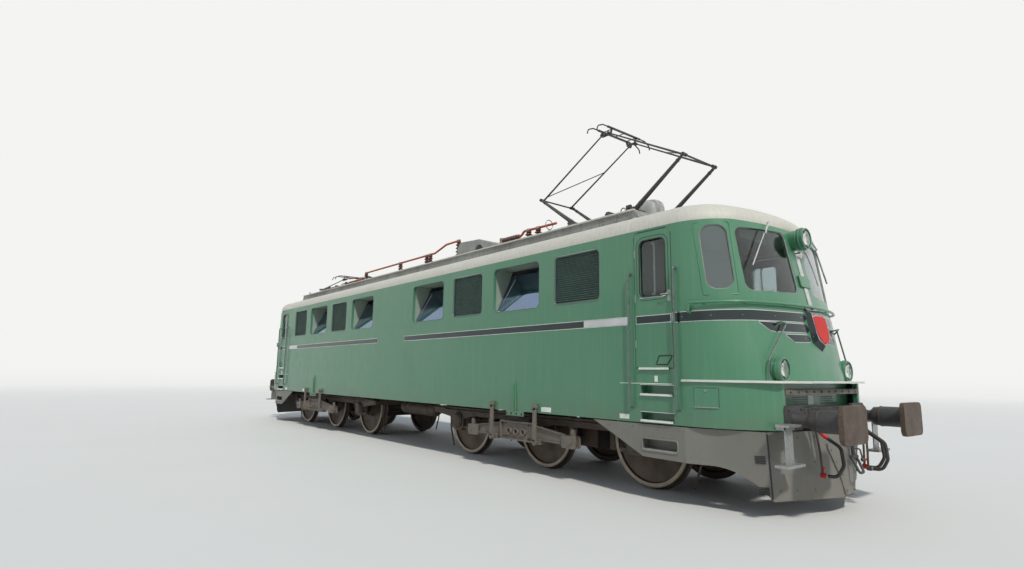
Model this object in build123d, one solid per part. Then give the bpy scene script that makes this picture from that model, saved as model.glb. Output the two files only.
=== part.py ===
# Six-axle electric locomotive with two cabs, two three-axle bogies and two diamond pantographs.
# Millimetres. X runs along the vehicle, Y across it, Z up. The wheel flanges' tips are at Z = 0.
# The cab at +X is the front one, and the ends mirror each other about X = 0.
from build123d import *
from math import atan2, cos, degrees, hypot, radians, sin, sqrt
import os

os.makedirs("parts", exist_ok=True)

# Driving dimensions
FLANGE = 30
LENGTH_OVER_BUFFERS = 18400
HALF_WIDTH = 1485
WHEEL_R = 630
AXLE_Z = FLANGE + WHEEL_R
PIVOT_X = 4350
AXLE_STEP = 2150
BACK_TO_BACK = 1360
BUFFER_Z = 1080
BUFFER_Y = 875

# Body heights
BODY_BOTTOM = 959
LEDGE_Z = 1484
CANTRAIL_Z = 3468
ROOF_EDGE_Z = 3722
ROOF_CROWN_Z = 3800
RAISED_TOP_Z = 3905
FLOOR_TOP = 1640
WALL = 60

# Places along the body
CAB_BACK = 6720
DOOR_X0 = 6820
DOOR_X1 = 7410
SIDE_END = 7440
HEADSTOCK_X = 8533


def save(part, node):
    export_step(part, f"parts/{node}.step")


def group(pieces):
    return Compound(children=list(pieces))


def block(x0, x1, y0, y1, z0, z1):
    centre = ((x0 + x1) / 2, (y0 + y1) / 2, (z0 + z1) / 2)
    return Pos(*centre) * Box(abs(x1 - x0), abs(y1 - y0), abs(z1 - z0))


def rod(start, end, radius):
    start, end = Vector(*start), Vector(*end)
    run = end - start
    return extrude(Plane(start, z_dir=run) * Circle(radius), run.length)


def bar(start, end, width, height):
    start, end = Vector(*start), Vector(*end)
    run = end - start
    plane = Plane(start, x_dir=(0, 1, 0), z_dir=run)
    return extrude(plane * Rectangle(width, height), run.length)


def side_plate(points, y0, y1):
    outline = make_face(Polyline(*[(x, z) for x, z in points], close=True))
    return extrude(Plane.XZ.offset(-max(y0, y1)) * outline, abs(y1 - y0))


def both_sides(pieces):
    return list(pieces) + [mirror(p, about=Plane.XZ) for p in pieces]


def both_ends(pieces):
    return list(pieces) + [mirror(p, about=Plane.YZ) for p in pieces]


# Cab shell. Each plan outline is a straight side, a corner arc and a bowed front.
# columns: height, end of straight side, pillar x, pillar y, front x
CAB_PLANS = {
    "low": (LEDGE_Z, 7560, 8350, 1100, 8620),
    "high": (CANTRAIL_Z, SIDE_END, 8050, 1127, 8225),
}


def cab_plan(plan, inset, z=None, back=CAB_BACK, cut=0):
    height, side_x, pillar_x, pillar_y, front_x = plan
    half = HALF_WIDTH - inset
    side_x -= cut
    pillar_x -= inset * 0.75 + cut
    pillar_y -= inset * 0.62
    front_x -= inset + cut
    edge = Line((back, half), (side_x, half))
    corner = TangentArc((side_x, half), (pillar_x, pillar_y), tangent=(1, 0))
    bow = ThreePointArc((pillar_x, pillar_y), (front_x, 0), (pillar_x, -pillar_y))
    corner2 = mirror(corner, about=Plane.XZ)
    edge2 = mirror(edge, about=Plane.XZ)
    back_line = Line((back, -half), (back, half))
    face = make_face(Curve() + [edge, corner, bow, corner2, edge2, back_line])
    return Pos(0, 0, height if z is None else z) * face


def cab_loft(inset):
    low = cab_plan(CAB_PLANS["low"], inset)
    high = cab_plan(CAB_PLANS["high"], inset)
    return loft([low, high], ruled=True)


WINDSCREEN = [(-1120, 3374), (-178, 3408), (-180, 2590), (-1104, 2568)]
CORNER_WINDOW = [(-220, 3395), (114, 3395), (199, 2585), (-133, 2585)]
CORNER_CENTRE = (7925, -1273)
CORNER_OUT = (0.542, -0.840)


def windscreen_prism():
    outline = make_face(Polyline(*WINDSCREEN, close=True))
    outline = fillet(outline.vertices(), 110)
    return extrude(Plane.YZ.offset(7600) * outline, 1300)


def corner_prism():
    outline = make_face(Polyline(*CORNER_WINDOW, close=True))
    outline = fillet(outline.vertices(), 130)
    x, y = CORNER_CENTRE
    out_x, out_y = CORNER_OUT
    plane = Plane((x, y, 0), x_dir=(-out_y, out_x, 0), z_dir=(out_x, out_y, 0))
    plane = plane if plane.y_dir.Z > 0 else Plane((x, y, 0), x_dir=(out_y, -out_x, 0), z_dir=(-out_x, -out_y, 0))
    return extrude(plane * outline, 260, both=True)


def rounded_opening(x, z, width, height, radius, y0, y1):
    outline = RectangleRounded(width, height, radius)
    return extrude(Plane.XZ.offset(-max(y0, y1)) * Pos(x, z) * outline, abs(y1 - y0))


def cab_shell():
    shell = cab_loft(0) - cab_loft(WALL)
    back_gap = block(CAB_BACK - 1, SIDE_END, -HALF_WIDTH - 1, HALF_WIDTH + 1, LEDGE_Z - 1, CANTRAIL_Z + 1)
    shell -= back_gap
    for prism in (windscreen_prism(), corner_prism()):
        shell -= prism
        shell -= mirror(prism, about=Plane.XZ)
    return shell


def cab_panes():
    skin = cab_loft(22) - cab_loft(30)
    panes = [skin & windscreen_prism(), skin & corner_prism()]
    panes = [p.solids()[0] if len(p.solids()) == 1 else max(p.solids(), key=lambda s: s.center().X) for p in panes]
    return both_sides(panes)


# Side wall openings
# columns: centre x, width
SIDE_WINDOWS = [(4330, 1190), (1530, 1190)]
SIDE_LOUVRES = [(5735, 940), (2930, 940)]
OPENING_Z = (2588, 3344)
OPENING_R = 85
DOOR_TOP = 3436
STEP_RECESSES = [(1300, 1432), (975, 1094)]


def side_wall():
    y0, y1 = -HALF_WIDTH - 5, -HALF_WIDTH + WALL + 5
    half = block(0, CAB_BACK, -HALF_WIDTH, -HALF_WIDTH + WALL, BODY_BOTTOM, CANTRAIL_Z)
    mid_z = sum(OPENING_Z) / 2
    height = OPENING_Z[1] - OPENING_Z[0]
    for x, width in SIDE_WINDOWS + SIDE_LOUVRES:
        half -= rounded_opening(x, mid_z, width, height, OPENING_R, y0, y1)
    return half + mirror(half, about=Plane.YZ)


def door_surround():
    y0, y1 = -HALF_WIDTH - 5, -HALF_WIDTH + WALL + 5
    panel = block(CAB_BACK, SIDE_END, -HALF_WIDTH, -HALF_WIDTH + WALL, BODY_BOTTOM, CANTRAIL_Z)
    panel -= block(DOOR_X0, DOOR_X1, y0, y1, FLOOR_TOP, DOOR_TOP)
    for z0, z1 in STEP_RECESSES:
        panel -= block(6895, 7395, y0, y1, z0, z1)
    return panel


wall = side_wall()
save(group(both_sides([wall])), "side_walls")
save(group(both_ends(both_sides([door_surround()]))), "door_surrounds")
save(group(both_ends(cab_panes())), "cab_glazing")


# Aprons and ledges below the cabs
def apron_plan(inset):
    half = HALF_WIDTH - inset
    edge = Line((SIDE_END, half), (7560, half))
    wing = TangentArc((7560, half), (HEADSTOCK_X - inset, 1060 - inset * 0.4), tangent=(1, 0))
    front = Line((HEADSTOCK_X - inset, 1060 - inset * 0.4), (HEADSTOCK_X - inset, -1060 + inset * 0.4))
    rest = [mirror(wing, about=Plane.XZ), mirror(edge, about=Plane.XZ), Line((SIDE_END, -half), (SIDE_END, half))]
    return make_face(Curve() + [edge, wing, front] + rest)


def apron():
    outer = extrude(Pos(0, 0, BODY_BOTTOM) * apron_plan(0), LEDGE_Z - BODY_BOTTOM)
    inner = extrude(Pos(0, 0, BODY_BOTTOM - 1) * apron_plan(WALL), LEDGE_Z - BODY_BOTTOM + 2)
    return outer - inner


def ledge():
    start = (7520, HALF_WIDTH + 25)
    wing = TangentArc(start, (8590, 1130), tangent=(1, 0))
    front = ThreePointArc((8590, 1130), (8650, 0), (8590, -1130))
    back = Line(start, (start[0], -start[1]))
    outline = make_face(Curve() + [wing, front, mirror(wing, about=Plane.XZ), back])
    plate = extrude(Pos(0, 0, LEDGE_Z) * outline, 26)
    return plate - cab_loft(0) - block(7500, 7570, -HALF_WIDTH, HALF_WIDTH, LEDGE_Z, LEDGE_Z + 26)


shell = cab_shell()
save(shell, "cab_shell_front")
save(mirror(shell, about=Plane.YZ), "cab_shell_rear")
save(group(both_ends([apron()])), "aprons")
save(group(both_ends([ledge()])), "front_ledges")


# Roof: cantrail section, cab roof domes and the raised machine room roof
def roof_section(inset):
    half = HALF_WIDTH - inset
    arc = TangentArc((half, CANTRAIL_Z), (1230 - inset * 0.6, ROOF_EDGE_Z - inset), tangent=(0, 1))
    crown = ThreePointArc((1230 - inset * 0.6, ROOF_EDGE_Z - inset), (0, ROOF_CROWN_Z - inset), (-1230 + inset * 0.6, ROOF_EDGE_Z - inset))
    arc2 = mirror(arc, about=Plane.YZ)
    floor = Line((-half, CANTRAIL_Z), (half, CANTRAIL_Z))
    return make_face(Curve() + [arc, crown, arc2, floor])


ROOF_JOINT = 6716


def machine_roof():
    section = extrude(Plane.YZ.offset(-ROOF_JOINT) * roof_section(0), 2 * ROOF_JOINT)
    hollow = extrude(Plane.YZ.offset(-ROOF_JOINT - 1) * roof_section(WALL), 2 * ROOF_JOINT + 2)
    return section - hollow


def raised_roof():
    top = 6566
    foot = ROOF_JOINT
    profile = [(-foot, 3700), (foot, 3700), (top, RAISED_TOP_Z), (-top, RAISED_TOP_Z)]
    solid = side_plate(profile, -1150, 1150)
    inner = side_plate([(-foot, 3600), (foot, 3600), (top - 60, RAISED_TOP_Z - 60), (-top + 60, RAISED_TOP_Z - 60)], -1090, 1090)
    return solid - inner


roof = machine_roof()
raised = raised_roof()
raised -= extrude(Plane.YZ.offset(-ROOF_JOINT - 1) * roof_section(0), 2 * ROOF_JOINT + 2)
save(roof, "machine_roof")
save(raised, "raised_roof")


# columns: height, half width, end of straight side, pillar x, pillar y, front x
DOME_STEPS = [
    (CANTRAIL_Z, HALF_WIDTH, SIDE_END, 8050, 1127, 8225),
    (3590, 1454, 7440, 8018, 1104, 8192),
    (3680, 1375, 7420, 7930, 1040, 8104),
    (ROOF_EDGE_Z, 1260, 7370, 7820, 950, 7992),
    (3775, 698, 7100, 7420, 520, 7560),
]


def dome_plan(height, half, side_x, pillar_x, pillar_y, front_x):
    edge = Line((ROOF_JOINT, half), (side_x, half))
    corner = TangentArc((side_x, half), (pillar_x, pillar_y), tangent=(1, 0))
    bow = ThreePointArc((pillar_x, pillar_y), (front_x, 0), (pillar_x, -pillar_y))
    back = Line((ROOF_JOINT, half), (ROOF_JOINT, -half))
    rest = [mirror(corner, about=Plane.XZ), mirror(edge, about=Plane.XZ), back]
    return Pos(0, 0, height) * make_face(Curve() + [edge, corner, bow] + rest)


def cab_dome():
    solid = loft([dome_plan(*step) for step in DOME_STEPS])
    under = extrude(cab_plan(CAB_PLANS["high"], WALL, CANTRAIL_Z - 1, ROOF_JOINT - 1), 90)
    return solid - under


dome = cab_dome()
save(group(both_ends([dome])), "cab_roofs")


# Underframe with the floor, sole bars and headstocks, and the inner blocks
WHEEL_ROOM_TOP = 1360


def underframe():
    half = HALF_WIDTH - WALL
    low = BODY_BOTTOM + 20
    floor = block(-7435, 7435, -half, half, WHEEL_ROOM_TOP, WHEEL_ROOM_TOP + 80)
    middle = block(-1150, 1150, -900, 900, low, WHEEL_ROOM_TOP)
    sole_bars = both_sides([block(-6850, 6850, -half, -1260, low, WHEEL_ROOM_TOP)])
    cab_floor = block(CAB_BACK, 7435, -half, half, WHEEL_ROOM_TOP + 80, FLOOR_TOP)
    nose = extrude(Pos(0, 0, low) * apron_plan(WALL), LEDGE_Z - low)
    return [floor, middle] + sole_bars + both_ends([cab_floor, nose])


save(group(underframe()), "underframe")
bulkhead = block(CAB_BACK - 40, CAB_BACK, -HALF_WIDTH + WALL, HALF_WIDTH - WALL, WHEEL_ROOM_TOP + 80, CANTRAIL_Z)
save(group(both_ends([bulkhead])), "cab_bulkheads")
save(block(-1100, 1100, -700, 700, WHEEL_ROOM_TOP + 80, 2600), "transformer")
desk = block(7600, 8000, -1300, 1300, LEDGE_Z + 20, 2250) & cab_loft(WALL)
save(group(both_ends([desk])), "driving_desks")


# Side glazing, tilted in at the top, and the air louvres
PANE_TILT = 27


def side_pane(x, width):
    y = -HALF_WIDTH + WALL
    sill = block(x - width / 2 + 60, x + width / 2 - 60, y, y + 30, 2556, 2600)
    pane = extrude(RectangleRounded(width - 30, 740, 70), 8)
    return sill + Pos(x, y + 12, 2600) * Rot(90 - PANE_TILT, 0, 0) * Pos(0, 370, 0) * pane


def louvre(x, width):
    mid_z = sum(OPENING_Z) / 2
    height = OPENING_Z[1] - OPENING_Z[0]
    return rounded_opening(x, mid_z, width, height, OPENING_R, -HALF_WIDTH + 12, -HALF_WIDTH + WALL)


panes = both_ends(both_sides([side_pane(x, w) for x, w in SIDE_WINDOWS]))
save(group(panes), "side_glazing")
save(group(both_ends(both_sides([louvre(x, w) for x, w in SIDE_LOUVRES]))), "side_louvres")


# Cab doors, hinged on their rear edge and opening inwards
DOOR_GAP = 8


def cab_door():
    y0 = -HALF_WIDTH
    z0, z1 = FLOOR_TOP + DOOR_GAP, DOOR_TOP - DOOR_GAP
    x0, x1 = DOOR_X0 + DOOR_GAP, DOOR_X1 - DOOR_GAP
    leaf = block(x0, x1, y0, y0 + 50, z0, z1)
    window = rounded_opening(7115, 2938, 410, 755, 80, y0 - 5, y0 + 60)
    return leaf - window


leaf = cab_door()
for end_name, end in (("front", 1), ("rear", -1)):
    for side_name, side in (("right", -1), ("left", 1)):
        placed = leaf if end > 0 else mirror(leaf, about=Plane.YZ)
        placed = placed if side < 0 else mirror(placed, about=Plane.XZ)
        save(placed, f"cab_door_{end_name}_{side_name}")


# Handrails, lamps and buffing gear
def handrails():
    y = -HALF_WIDTH - 55
    rails = []
    for x in (6762, 7468):
        rail = rod((x, y, 1150), (x, y, 2890), 16)
        for z in (1165, 2875):
            rail += rod((x, -HALF_WIDTH, z), (x, y, z), 14)
        rails.append(rail)
    return rails


save(group(both_ends(both_sides(handrails()))), "door_handrails")


def headlamp(x, y, z, radius, depth):
    return rod((x - depth, y, z), (x, y, z), radius)


lamps = [headlamp(8485, -884, 1641, 130, 170), headlamp(8485, 884, 1641, 130, 170), headlamp(8430, 0, 3330, 135, 230)]
lamps = [lamp - cab_loft(0) for lamp in lamps]
save(group(both_ends(lamps)), "headlamps")

BUFFER_FACE = LENGTH_OVER_BUFFERS / 2


def buffer_shank():
    base = block(HEADSTOCK_X, HEADSTOCK_X + 40, -BUFFER_Y - 190, -BUFFER_Y + 190, 965, 1235)
    tube = rod((HEADSTOCK_X + 40, -BUFFER_Y, BUFFER_Z), (9000, -BUFFER_Y, BUFFER_Z), 118)
    collar = rod((HEADSTOCK_X + 40, -BUFFER_Y, BUFFER_Z), (8753, -BUFFER_Y, BUFFER_Z), 140)
    return base + tube + collar


def buffer_head():
    outline = Pos(-BUFFER_Y, BUFFER_Z) * RectangleRounded(620, 370, 70)
    plate = extrude(Plane.YZ.offset(9150) * outline, BUFFER_FACE - 9150)
    stem = rod((9000, -BUFFER_Y, BUFFER_Z), (9150, -BUFFER_Y, BUFFER_Z), 105)
    return plate + stem


save(group(both_ends(both_sides([buffer_shank()]))), "buffer_shanks")
save(group(both_ends(both_sides([buffer_head()]))), "buffer_heads")


def drawhook():
    shank = block(HEADSTOCK_X, 8740, -35, 35, 1045, 1115)
    hook = side_plate([(8700, 1010), (8830, 1010), (8860, 1060), (8860, 1130), (8800, 1130), (8790, 1080), (8700, 1115)], -35, 35)
    plate = block(HEADSTOCK_X, HEADSTOCK_X + 30, -200, 200, 980, 1180)
    return plate + shank + hook


save(group(both_ends([drawhook()])), "drawhooks")


# Spring beams hung from the body beside the bogies
def spring_beam():
    y0, y1 = -1460, -1330
    mid = (3946 + 4757) / 2
    box = block(3946, 4757, y0, y1, 500, 796)
    arm = [(4757, 560), (5400, 560), (5400, 650), (4757, 740)]
    arms = side_plate(arm, -1425, -1365)
    arms += side_plate([(2 * mid - x, z) for x, z in arm], -1425, -1365)
    ends = block(5400, 5680, y0, y1, 490, 670) + block(2 * mid - 5680, 2 * mid - 5400, y0, y1, 490, 670)
    beam = box + arms + ends
    for x in (3798, 4880):
        beam += block(x - 32, x + 32, -1540, -1500, 478, 1092)
        beam += rod((x, -1540, 1040), (x, -HALF_WIDTH, 1040), 30)
        beam += block(x - 32, x + 32, -1540, -1400, 478, 660)
    return beam


save(group(both_ends(both_sides([spring_beam()]))), "spring_beams")


# Roof equipment
insulators = []
for x in (-3300, -1700, 0, 1700, 3300):
    insulators.append(rod((x, 0, RAISED_TOP_Z), (x, 0, RAISED_TOP_Z + 260), 70))
save(group(insulators), "roof_insulators")
save(rod((-3300, 0, RAISED_TOP_Z + 280), (3300, 0, RAISED_TOP_Z + 280), 20), "roof_conductor")
save(block(800, 1500, -900, -300, RAISED_TOP_Z, RAISED_TOP_Z + 260), "roof_hood")


# Bogies
def bogie_frame():
    frame = None
    for side in (-1, 1):
        y0 = side * 960
        y1 = side * 1120
        beam = block(-3010, 3010, y0, y1, 700, 900)
        frame = beam if frame is None else frame + beam
        for x in (-AXLE_STEP, 0, AXLE_STEP):
            frame += block(x - 170, x + 170, y0, y1, AXLE_Z - 170, 720)
    for x in (-2930, -1075, 1075, 2930):
        frame += block(x - 80, x + 80, -970, 970, 760, 900)
    for x in (-AXLE_STEP, 0, AXLE_STEP):
        for side in (-1, 1):
            frame -= rod((x, side * 900, AXLE_Z), (x, side * 1130, AXLE_Z), 100.05)
    return frame


SKIRT_TOP = 945
SKIRT_T = 16


def skirt_plan(corner, nose_x, inset):
    corner_x, corner_y = corner
    half = HALF_WIDTH - inset
    c = (corner_x - inset, corner_y - inset * 0.7)
    n = (nose_x - inset, 170)
    points = [(1500, half), (3190, half), c, n, (n[0], -n[1]), (c[0], -c[1]), (3190, -half), (1500, -half)]
    return make_face(Polyline(*points, close=True))


def skirt_solid(inset, z0, z1):
    low = skirt_plan((4039, 1115), 4390, inset)
    high = skirt_plan((4070, 1240), 4390, inset)
    return loft([Pos(0, 0, z0) * low, Pos(0, 0, z1) * high], ruled=True)


def skirt():
    shell = skirt_solid(0, 191, SKIRT_TOP) - skirt_solid(SKIRT_T, 190, SKIRT_TOP + 1)
    shell -= block(1400, 1700, -1600, 1600, 0, 1000)
    sweep = ThreePointArc((1710, 950), (2210, 715), (2562, 545))
    flat = Line((2562, 545), (3400, 530))
    fall = ThreePointArc((3400, 530), (3790, 440), (4050, 185))
    rest = Polyline((4050, 185), (4050, 100), (1600, 100), (1600, 950), (1710, 950))
    arch = make_face(Curve() + [sweep, flat, fall, rest])
    shell -= extrude(Plane.XZ.offset(-1600) * arch, 3200)
    for side in (-1, 1):
        shell -= block(2555, 3085, side * 1400, side * 1500, 621, 771)
        shell += block(2700, 2780, side * 1120, side * (HALF_WIDTH - 8), 790, 880)
    return shell


def bogie_motors():
    motors = []
    for x in (-AXLE_STEP + 620, 620, AXLE_STEP - 620):
        motors.append(block(x - 330, x + 330, -560, 560, 420, 740))
    return motors


def wheelset():
    axle = rod((0, -1120, 0), (0, 1120, 0), 100)
    wheel = Cylinder(WHEEL_R, 135)
    flange = Cylinder(WHEEL_R + FLANGE, 32)
    for side in (-1, 1):
        y = side * (BACK_TO_BACK / 2)
        axle += Pos(0, y + side * 67.5, 0) * Rot(90, 0, 0) * wheel
        axle += Pos(0, y + side * 16, 0) * Rot(90, 0, 0) * flange
    return axle


frame_piece = bogie_frame()
skirt_piece = skirt()
motor_piece = group(bogie_motors())
wheel_piece = wheelset()
for end_name, end in (("front", 1), ("rear", -1)):
    for piece, name in ((frame_piece, "bogie_frame"), (skirt_piece, "bogie_skirt"), (motor_piece, "traction_motors")):
        placed = piece if end > 0 else mirror(piece, about=Plane.YZ)
        save(Pos(end * PIVOT_X, 0, 0) * placed, f"{name}_{end_name}")
    for number, offset in enumerate((AXLE_STEP, 0, -AXLE_STEP), 1):
        place = Pos(end * (PIVOT_X + offset), 0, AXLE_Z)
        save(place * wheel_piece, f"wheelset_{end_name}_{number}")


# Diamond pantographs. The arms at +X are the a arms and those at -X the b arms.
PANTO_X = 5358
BASE_HALF = 650
BASE_Z = 4154
KNEE = (1569, 4816)
HEAD_HALF = 70
HEAD_PIVOT_Z = 5650
LOWER_Y = 425
UPPER_Y = 365
LOWER_LENGTH = hypot(KNEE[0] - BASE_HALF, KNEE[1] - BASE_Z)
UPPER_LENGTH = hypot(KNEE[0] - HEAD_HALF, HEAD_PIVOT_Z - KNEE[1])
RAISED = (degrees(atan2(KNEE[1] - BASE_Z, KNEE[0] - BASE_HALF)), degrees(atan2(HEAD_PIVOT_Z - KNEE[1], KNEE[0] - HEAD_HALF)))
ARM_TURN = 31.7
UPPER_RATIO = 0.7705
LOWERED = (RAISED[0] - ARM_TURN, RAISED[1] - UPPER_RATIO * ARM_TURN)


def ring(x, y0, y1, z, outer, inner):
    return rod((x, y0, z), (x, y1, z), outer) - rod((x, y0 - 1, z), (x, y1 + 1, z), inner)


def panto_points(angles):
    lower, upper = (radians(a) for a in angles)
    knee = (BASE_HALF + LOWER_LENGTH * cos(lower), BASE_Z + LOWER_LENGTH * sin(lower))
    head = (knee[0] - UPPER_LENGTH * cos(upper), knee[1] + UPPER_LENGTH * sin(upper))
    return knee, head


def lower_arm(angles):
    knee, _ = panto_points(angles)
    arm = rod((BASE_HALF, -620, BASE_Z), (BASE_HALF, 620, BASE_Z), 25)
    arm += rod((knee[0], -LOWER_Y - 30, knee[1]), (knee[0], LOWER_Y + 30, knee[1]), 15)
    for side in (-1, 1):
        arm += rod((BASE_HALF, side * LOWER_Y, BASE_Z), (knee[0], side * LOWER_Y, knee[1]), 30)
    return arm


def upper_arm(angles, head_bore, head_ring):
    knee, head = panto_points(angles)
    low, mid = ((knee[0] + (head[0] - knee[0]) * f, knee[1] + (head[1] - knee[1]) * f) for f in (0.06, 0.6))
    arm = rod((low[0], -UPPER_Y, low[1]), (mid[0], UPPER_Y, mid[1]), 9)
    for side in (-1, 1):
        arm += rod((knee[0], side * UPPER_Y, knee[1]), (head[0], side * UPPER_Y, head[1]), 13)
        y0, y1 = sorted((side * (UPPER_Y - 18), side * (UPPER_Y + 18)))
        arm += rod((knee[0], y0, knee[1]), (knee[0], y1, knee[1]), 27)
        arm += rod((head[0], y0, head[1]), (head[0], y1, head[1]), head_ring)
        arm -= rod((knee[0], y0 - 5, knee[1]), (knee[0], y1 + 5, knee[1]), 15.08)
        arm -= rod((head[0], y0 - 5, head[1]), (head[0], y1 + 5, head[1]), head_bore)
    return arm


def panto_head(angles):
    _, head = panto_points(angles)
    z = head[1]
    piece = None
    for side in (-1, 1):
        pins = [rod((x, side * (UPPER_Y - 50), z), (x, side * (UPPER_Y + 30), z), 12) for x in (-HEAD_HALF, HEAD_HALF)]
        web = side_plate([(-125, z + 82), (-90, z - 20), (90, z - 20), (125, z + 82)], side * (UPPER_Y - 50), side * (UPPER_Y - 38))
        for part in pins + [web]:
            piece = part if piece is None else piece + part
    for x in (-110, 110):
        path = Polyline((-430, z + 90), (430, z + 90))
        strip = block(x - 20, x + 20, -430, 430, z + 76, z + 100)
        piece += strip
        for side in (-1, 1):
            piece += bar((x, side * 425, z + 88), (x, side * 590, z + 40), 24, 20)
            piece += bar((x, side * 585, z + 45), (x, side * 700, z - 55), 24, 20)
    return piece


def panto_base():
    frame = None
    for x in (-400, 400):
        beam = block(x - 30, x + 30, -800, 800, 4060, 4100)
        frame = beam if frame is None else frame + beam
    for side in (-1, 1):
        frame += block(-700, 700, side * 540, side * 600, 4060, 4100)
        for x in (-BASE_HALF, BASE_HALF):
            frame += block(x - 45, x + 45, side * 550, side * 590, 4090, 4200)
    for x in (-BASE_HALF, BASE_HALF):
        frame -= rod((x, -700, BASE_Z), (x, 700, BASE_Z), 25.05)
    for x in (-400, 400):
        for y in (-770, 770):
            frame += rod((x, y, RAISED_TOP_Z), (x, y, 4070), 55)
    return frame


def shaft_hood(end):
    x = end * (BASE_HALF + 2)
    hood = block(x - 200, x + 200, -185, 185, RAISED_TOP_Z, 4375)
    return hood - rod((x, -200, BASE_Z), (x, 200, BASE_Z), 45)


save(group([Pos(x, 0, 0) * panto_base() for x in (PANTO_X, -PANTO_X)]), "pantograph_bases")
save(group([Pos(end * PANTO_X, 0, 0) * shaft_hood(end) for end in (1, -1)]), "shaft_hoods")
for end_name, end, angles in (("front", 1, RAISED), ("rear", -1, LOWERED)):
    place = Pos(end * PANTO_X, 0, 0)
    lower = lower_arm(angles)
    save(place * lower, f"lower_arm_a_{end_name}")
    save(place * mirror(lower, about=Plane.YZ), f"lower_arm_b_{end_name}")
    save(place * upper_arm(angles, 12.08, 26), f"upper_arm_a_{end_name}")
    save(place * mirror(upper_arm(angles, 26, 38), about=Plane.YZ), f"upper_arm_b_{end_name}")
    save(place * panto_head(angles), f"pantograph_head_{end_name}")
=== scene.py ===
from math import atan2, cos, hypot, pi, radians, sin, sqrt, tan

import bmesh
import bpy
from mathutils import Matrix, Vector


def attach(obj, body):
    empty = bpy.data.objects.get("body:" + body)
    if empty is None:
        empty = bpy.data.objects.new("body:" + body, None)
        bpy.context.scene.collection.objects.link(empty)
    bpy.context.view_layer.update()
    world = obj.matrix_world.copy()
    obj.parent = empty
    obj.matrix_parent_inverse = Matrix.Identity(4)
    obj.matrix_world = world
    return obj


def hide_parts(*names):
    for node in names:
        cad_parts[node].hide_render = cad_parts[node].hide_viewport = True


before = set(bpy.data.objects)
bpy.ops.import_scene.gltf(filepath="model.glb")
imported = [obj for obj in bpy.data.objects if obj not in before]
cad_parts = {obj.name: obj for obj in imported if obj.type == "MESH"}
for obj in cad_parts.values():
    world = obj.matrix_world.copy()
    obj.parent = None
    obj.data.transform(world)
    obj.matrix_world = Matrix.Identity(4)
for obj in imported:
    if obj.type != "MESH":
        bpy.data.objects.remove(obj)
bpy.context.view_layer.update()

bl_info = {
    "name": "Six-axle electric locomotive",
    "version": (1, 0, 0),
    "blender": (4, 5, 0),
    "location": "3D View > Sidebar > Locomotive",
    "description": "Finishes, fittings, floor, light and camera for the packed locomotive",
    "category": "Object",
}

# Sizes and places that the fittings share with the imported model, in metres
HALF_WIDTH = 1.485
LEDGE_Z = 1.484
RAISED_TOP_Z = 3.905
AXLE_Z = 0.66
PIVOT_X = 4.35
AXLE_STEP = 2.15
BUFFER_Y = 0.875
BUFFER_Z = 1.08
ENDS = {"front": 1, "rear": -1}
SIDES = {"right": -1, "left": 1}

# Cab plans. columns: height, end of straight side, pillar x, pillar y, front x
CAB_LOW = (1.484, 7.56, 8.35, 1.1, 8.62)
CAB_HIGH = (3.468, 7.44, 8.05, 1.127, 8.225)

# Openings in the side walls. columns: centre x, width
SIDE_WINDOWS = [(4.33, 1.19), (1.53, 1.19)]
SIDE_LOUVRES = [(5.735, 0.94), (2.93, 0.94)]
OPENING_LOW, OPENING_HIGH, OPENING_R = 2.588, 3.344, 0.085
OPENING_MID = (OPENING_LOW + OPENING_HIGH) / 2
OPENING_HEIGHT = OPENING_HIGH - OPENING_LOW

# Turns of flat outlines: into the side's plane, and from a turned piece's axis to the X axis
SIDE_PLANE = Matrix(((1, 0, 0, 0), (0, 0, -1, 0), (0, 1, 0, 0), (0, 0, 0, 1)))
ALONG_X = Matrix(((0, 0, 1, 0), (1, 0, 0, 0), (0, 1, 0, 0), (0, 0, 0, 1)))
ALONG_Y = Matrix(((1, 0, 0, 0), (0, 0, 1, 0), (0, -1, 0, 0), (0, 0, 0, 1)))


def linear(hex_colour):
    """Turns an sRGB hex colour to linear RGBA."""
    parts = [int(hex_colour[i : i + 2], 16) / 255 for i in (1, 3, 5)]
    return tuple(c / 12.92 if c <= 0.04045 else ((c + 0.055) / 1.055) ** 2.4 for c in parts) + (1.0,)


def colour_prop(name, description, hex_colour):
    return bpy.props.FloatVectorProperty(
        name=name, description=description, subtype="COLOR", size=4, min=0, max=1, default=linear(hex_colour)
    )


def length_prop(name, description, metres):
    return bpy.props.FloatProperty(name=name, description=description, unit="LENGTH", default=metres)


class LOCO_paints(bpy.types.PropertyGroup):
    """Colours of the painted and bare surfaces."""

    body: colour_prop("Body green", "Gloss enamel of walls, doors and aprons", "#467C5D")
    roof: colour_prop("Roof grey", "Pale paint of the cab roofs and the cantrail", "#C5C3B8")
    deck: colour_prop("Roof deck", "Weathered paint of the raised roof", "#9A9B95")
    skirt: colour_prop("Skirt grey", "Satin paint of ploughs and bogie skirts", "#6F6E67")
    gear: colour_prop("Running gear", "Brake dust and oil on bogies and axles", "#453D36")
    emblem: colour_prop("Shield red", "Enamel of the plain shield", "#C0201A")
    conductor: colour_prop("Conductor orange", "Paint of the roof conductors", "#B4552A")


class LOCO_sizes(bpy.types.PropertyGroup):
    """Sizes of the fittings."""

    seal: length_prop("Seal width", "Width of the window seals", 0.022)
    rail: length_prop("Rail radius", "Radius of the belt handrail", 0.017)


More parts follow.
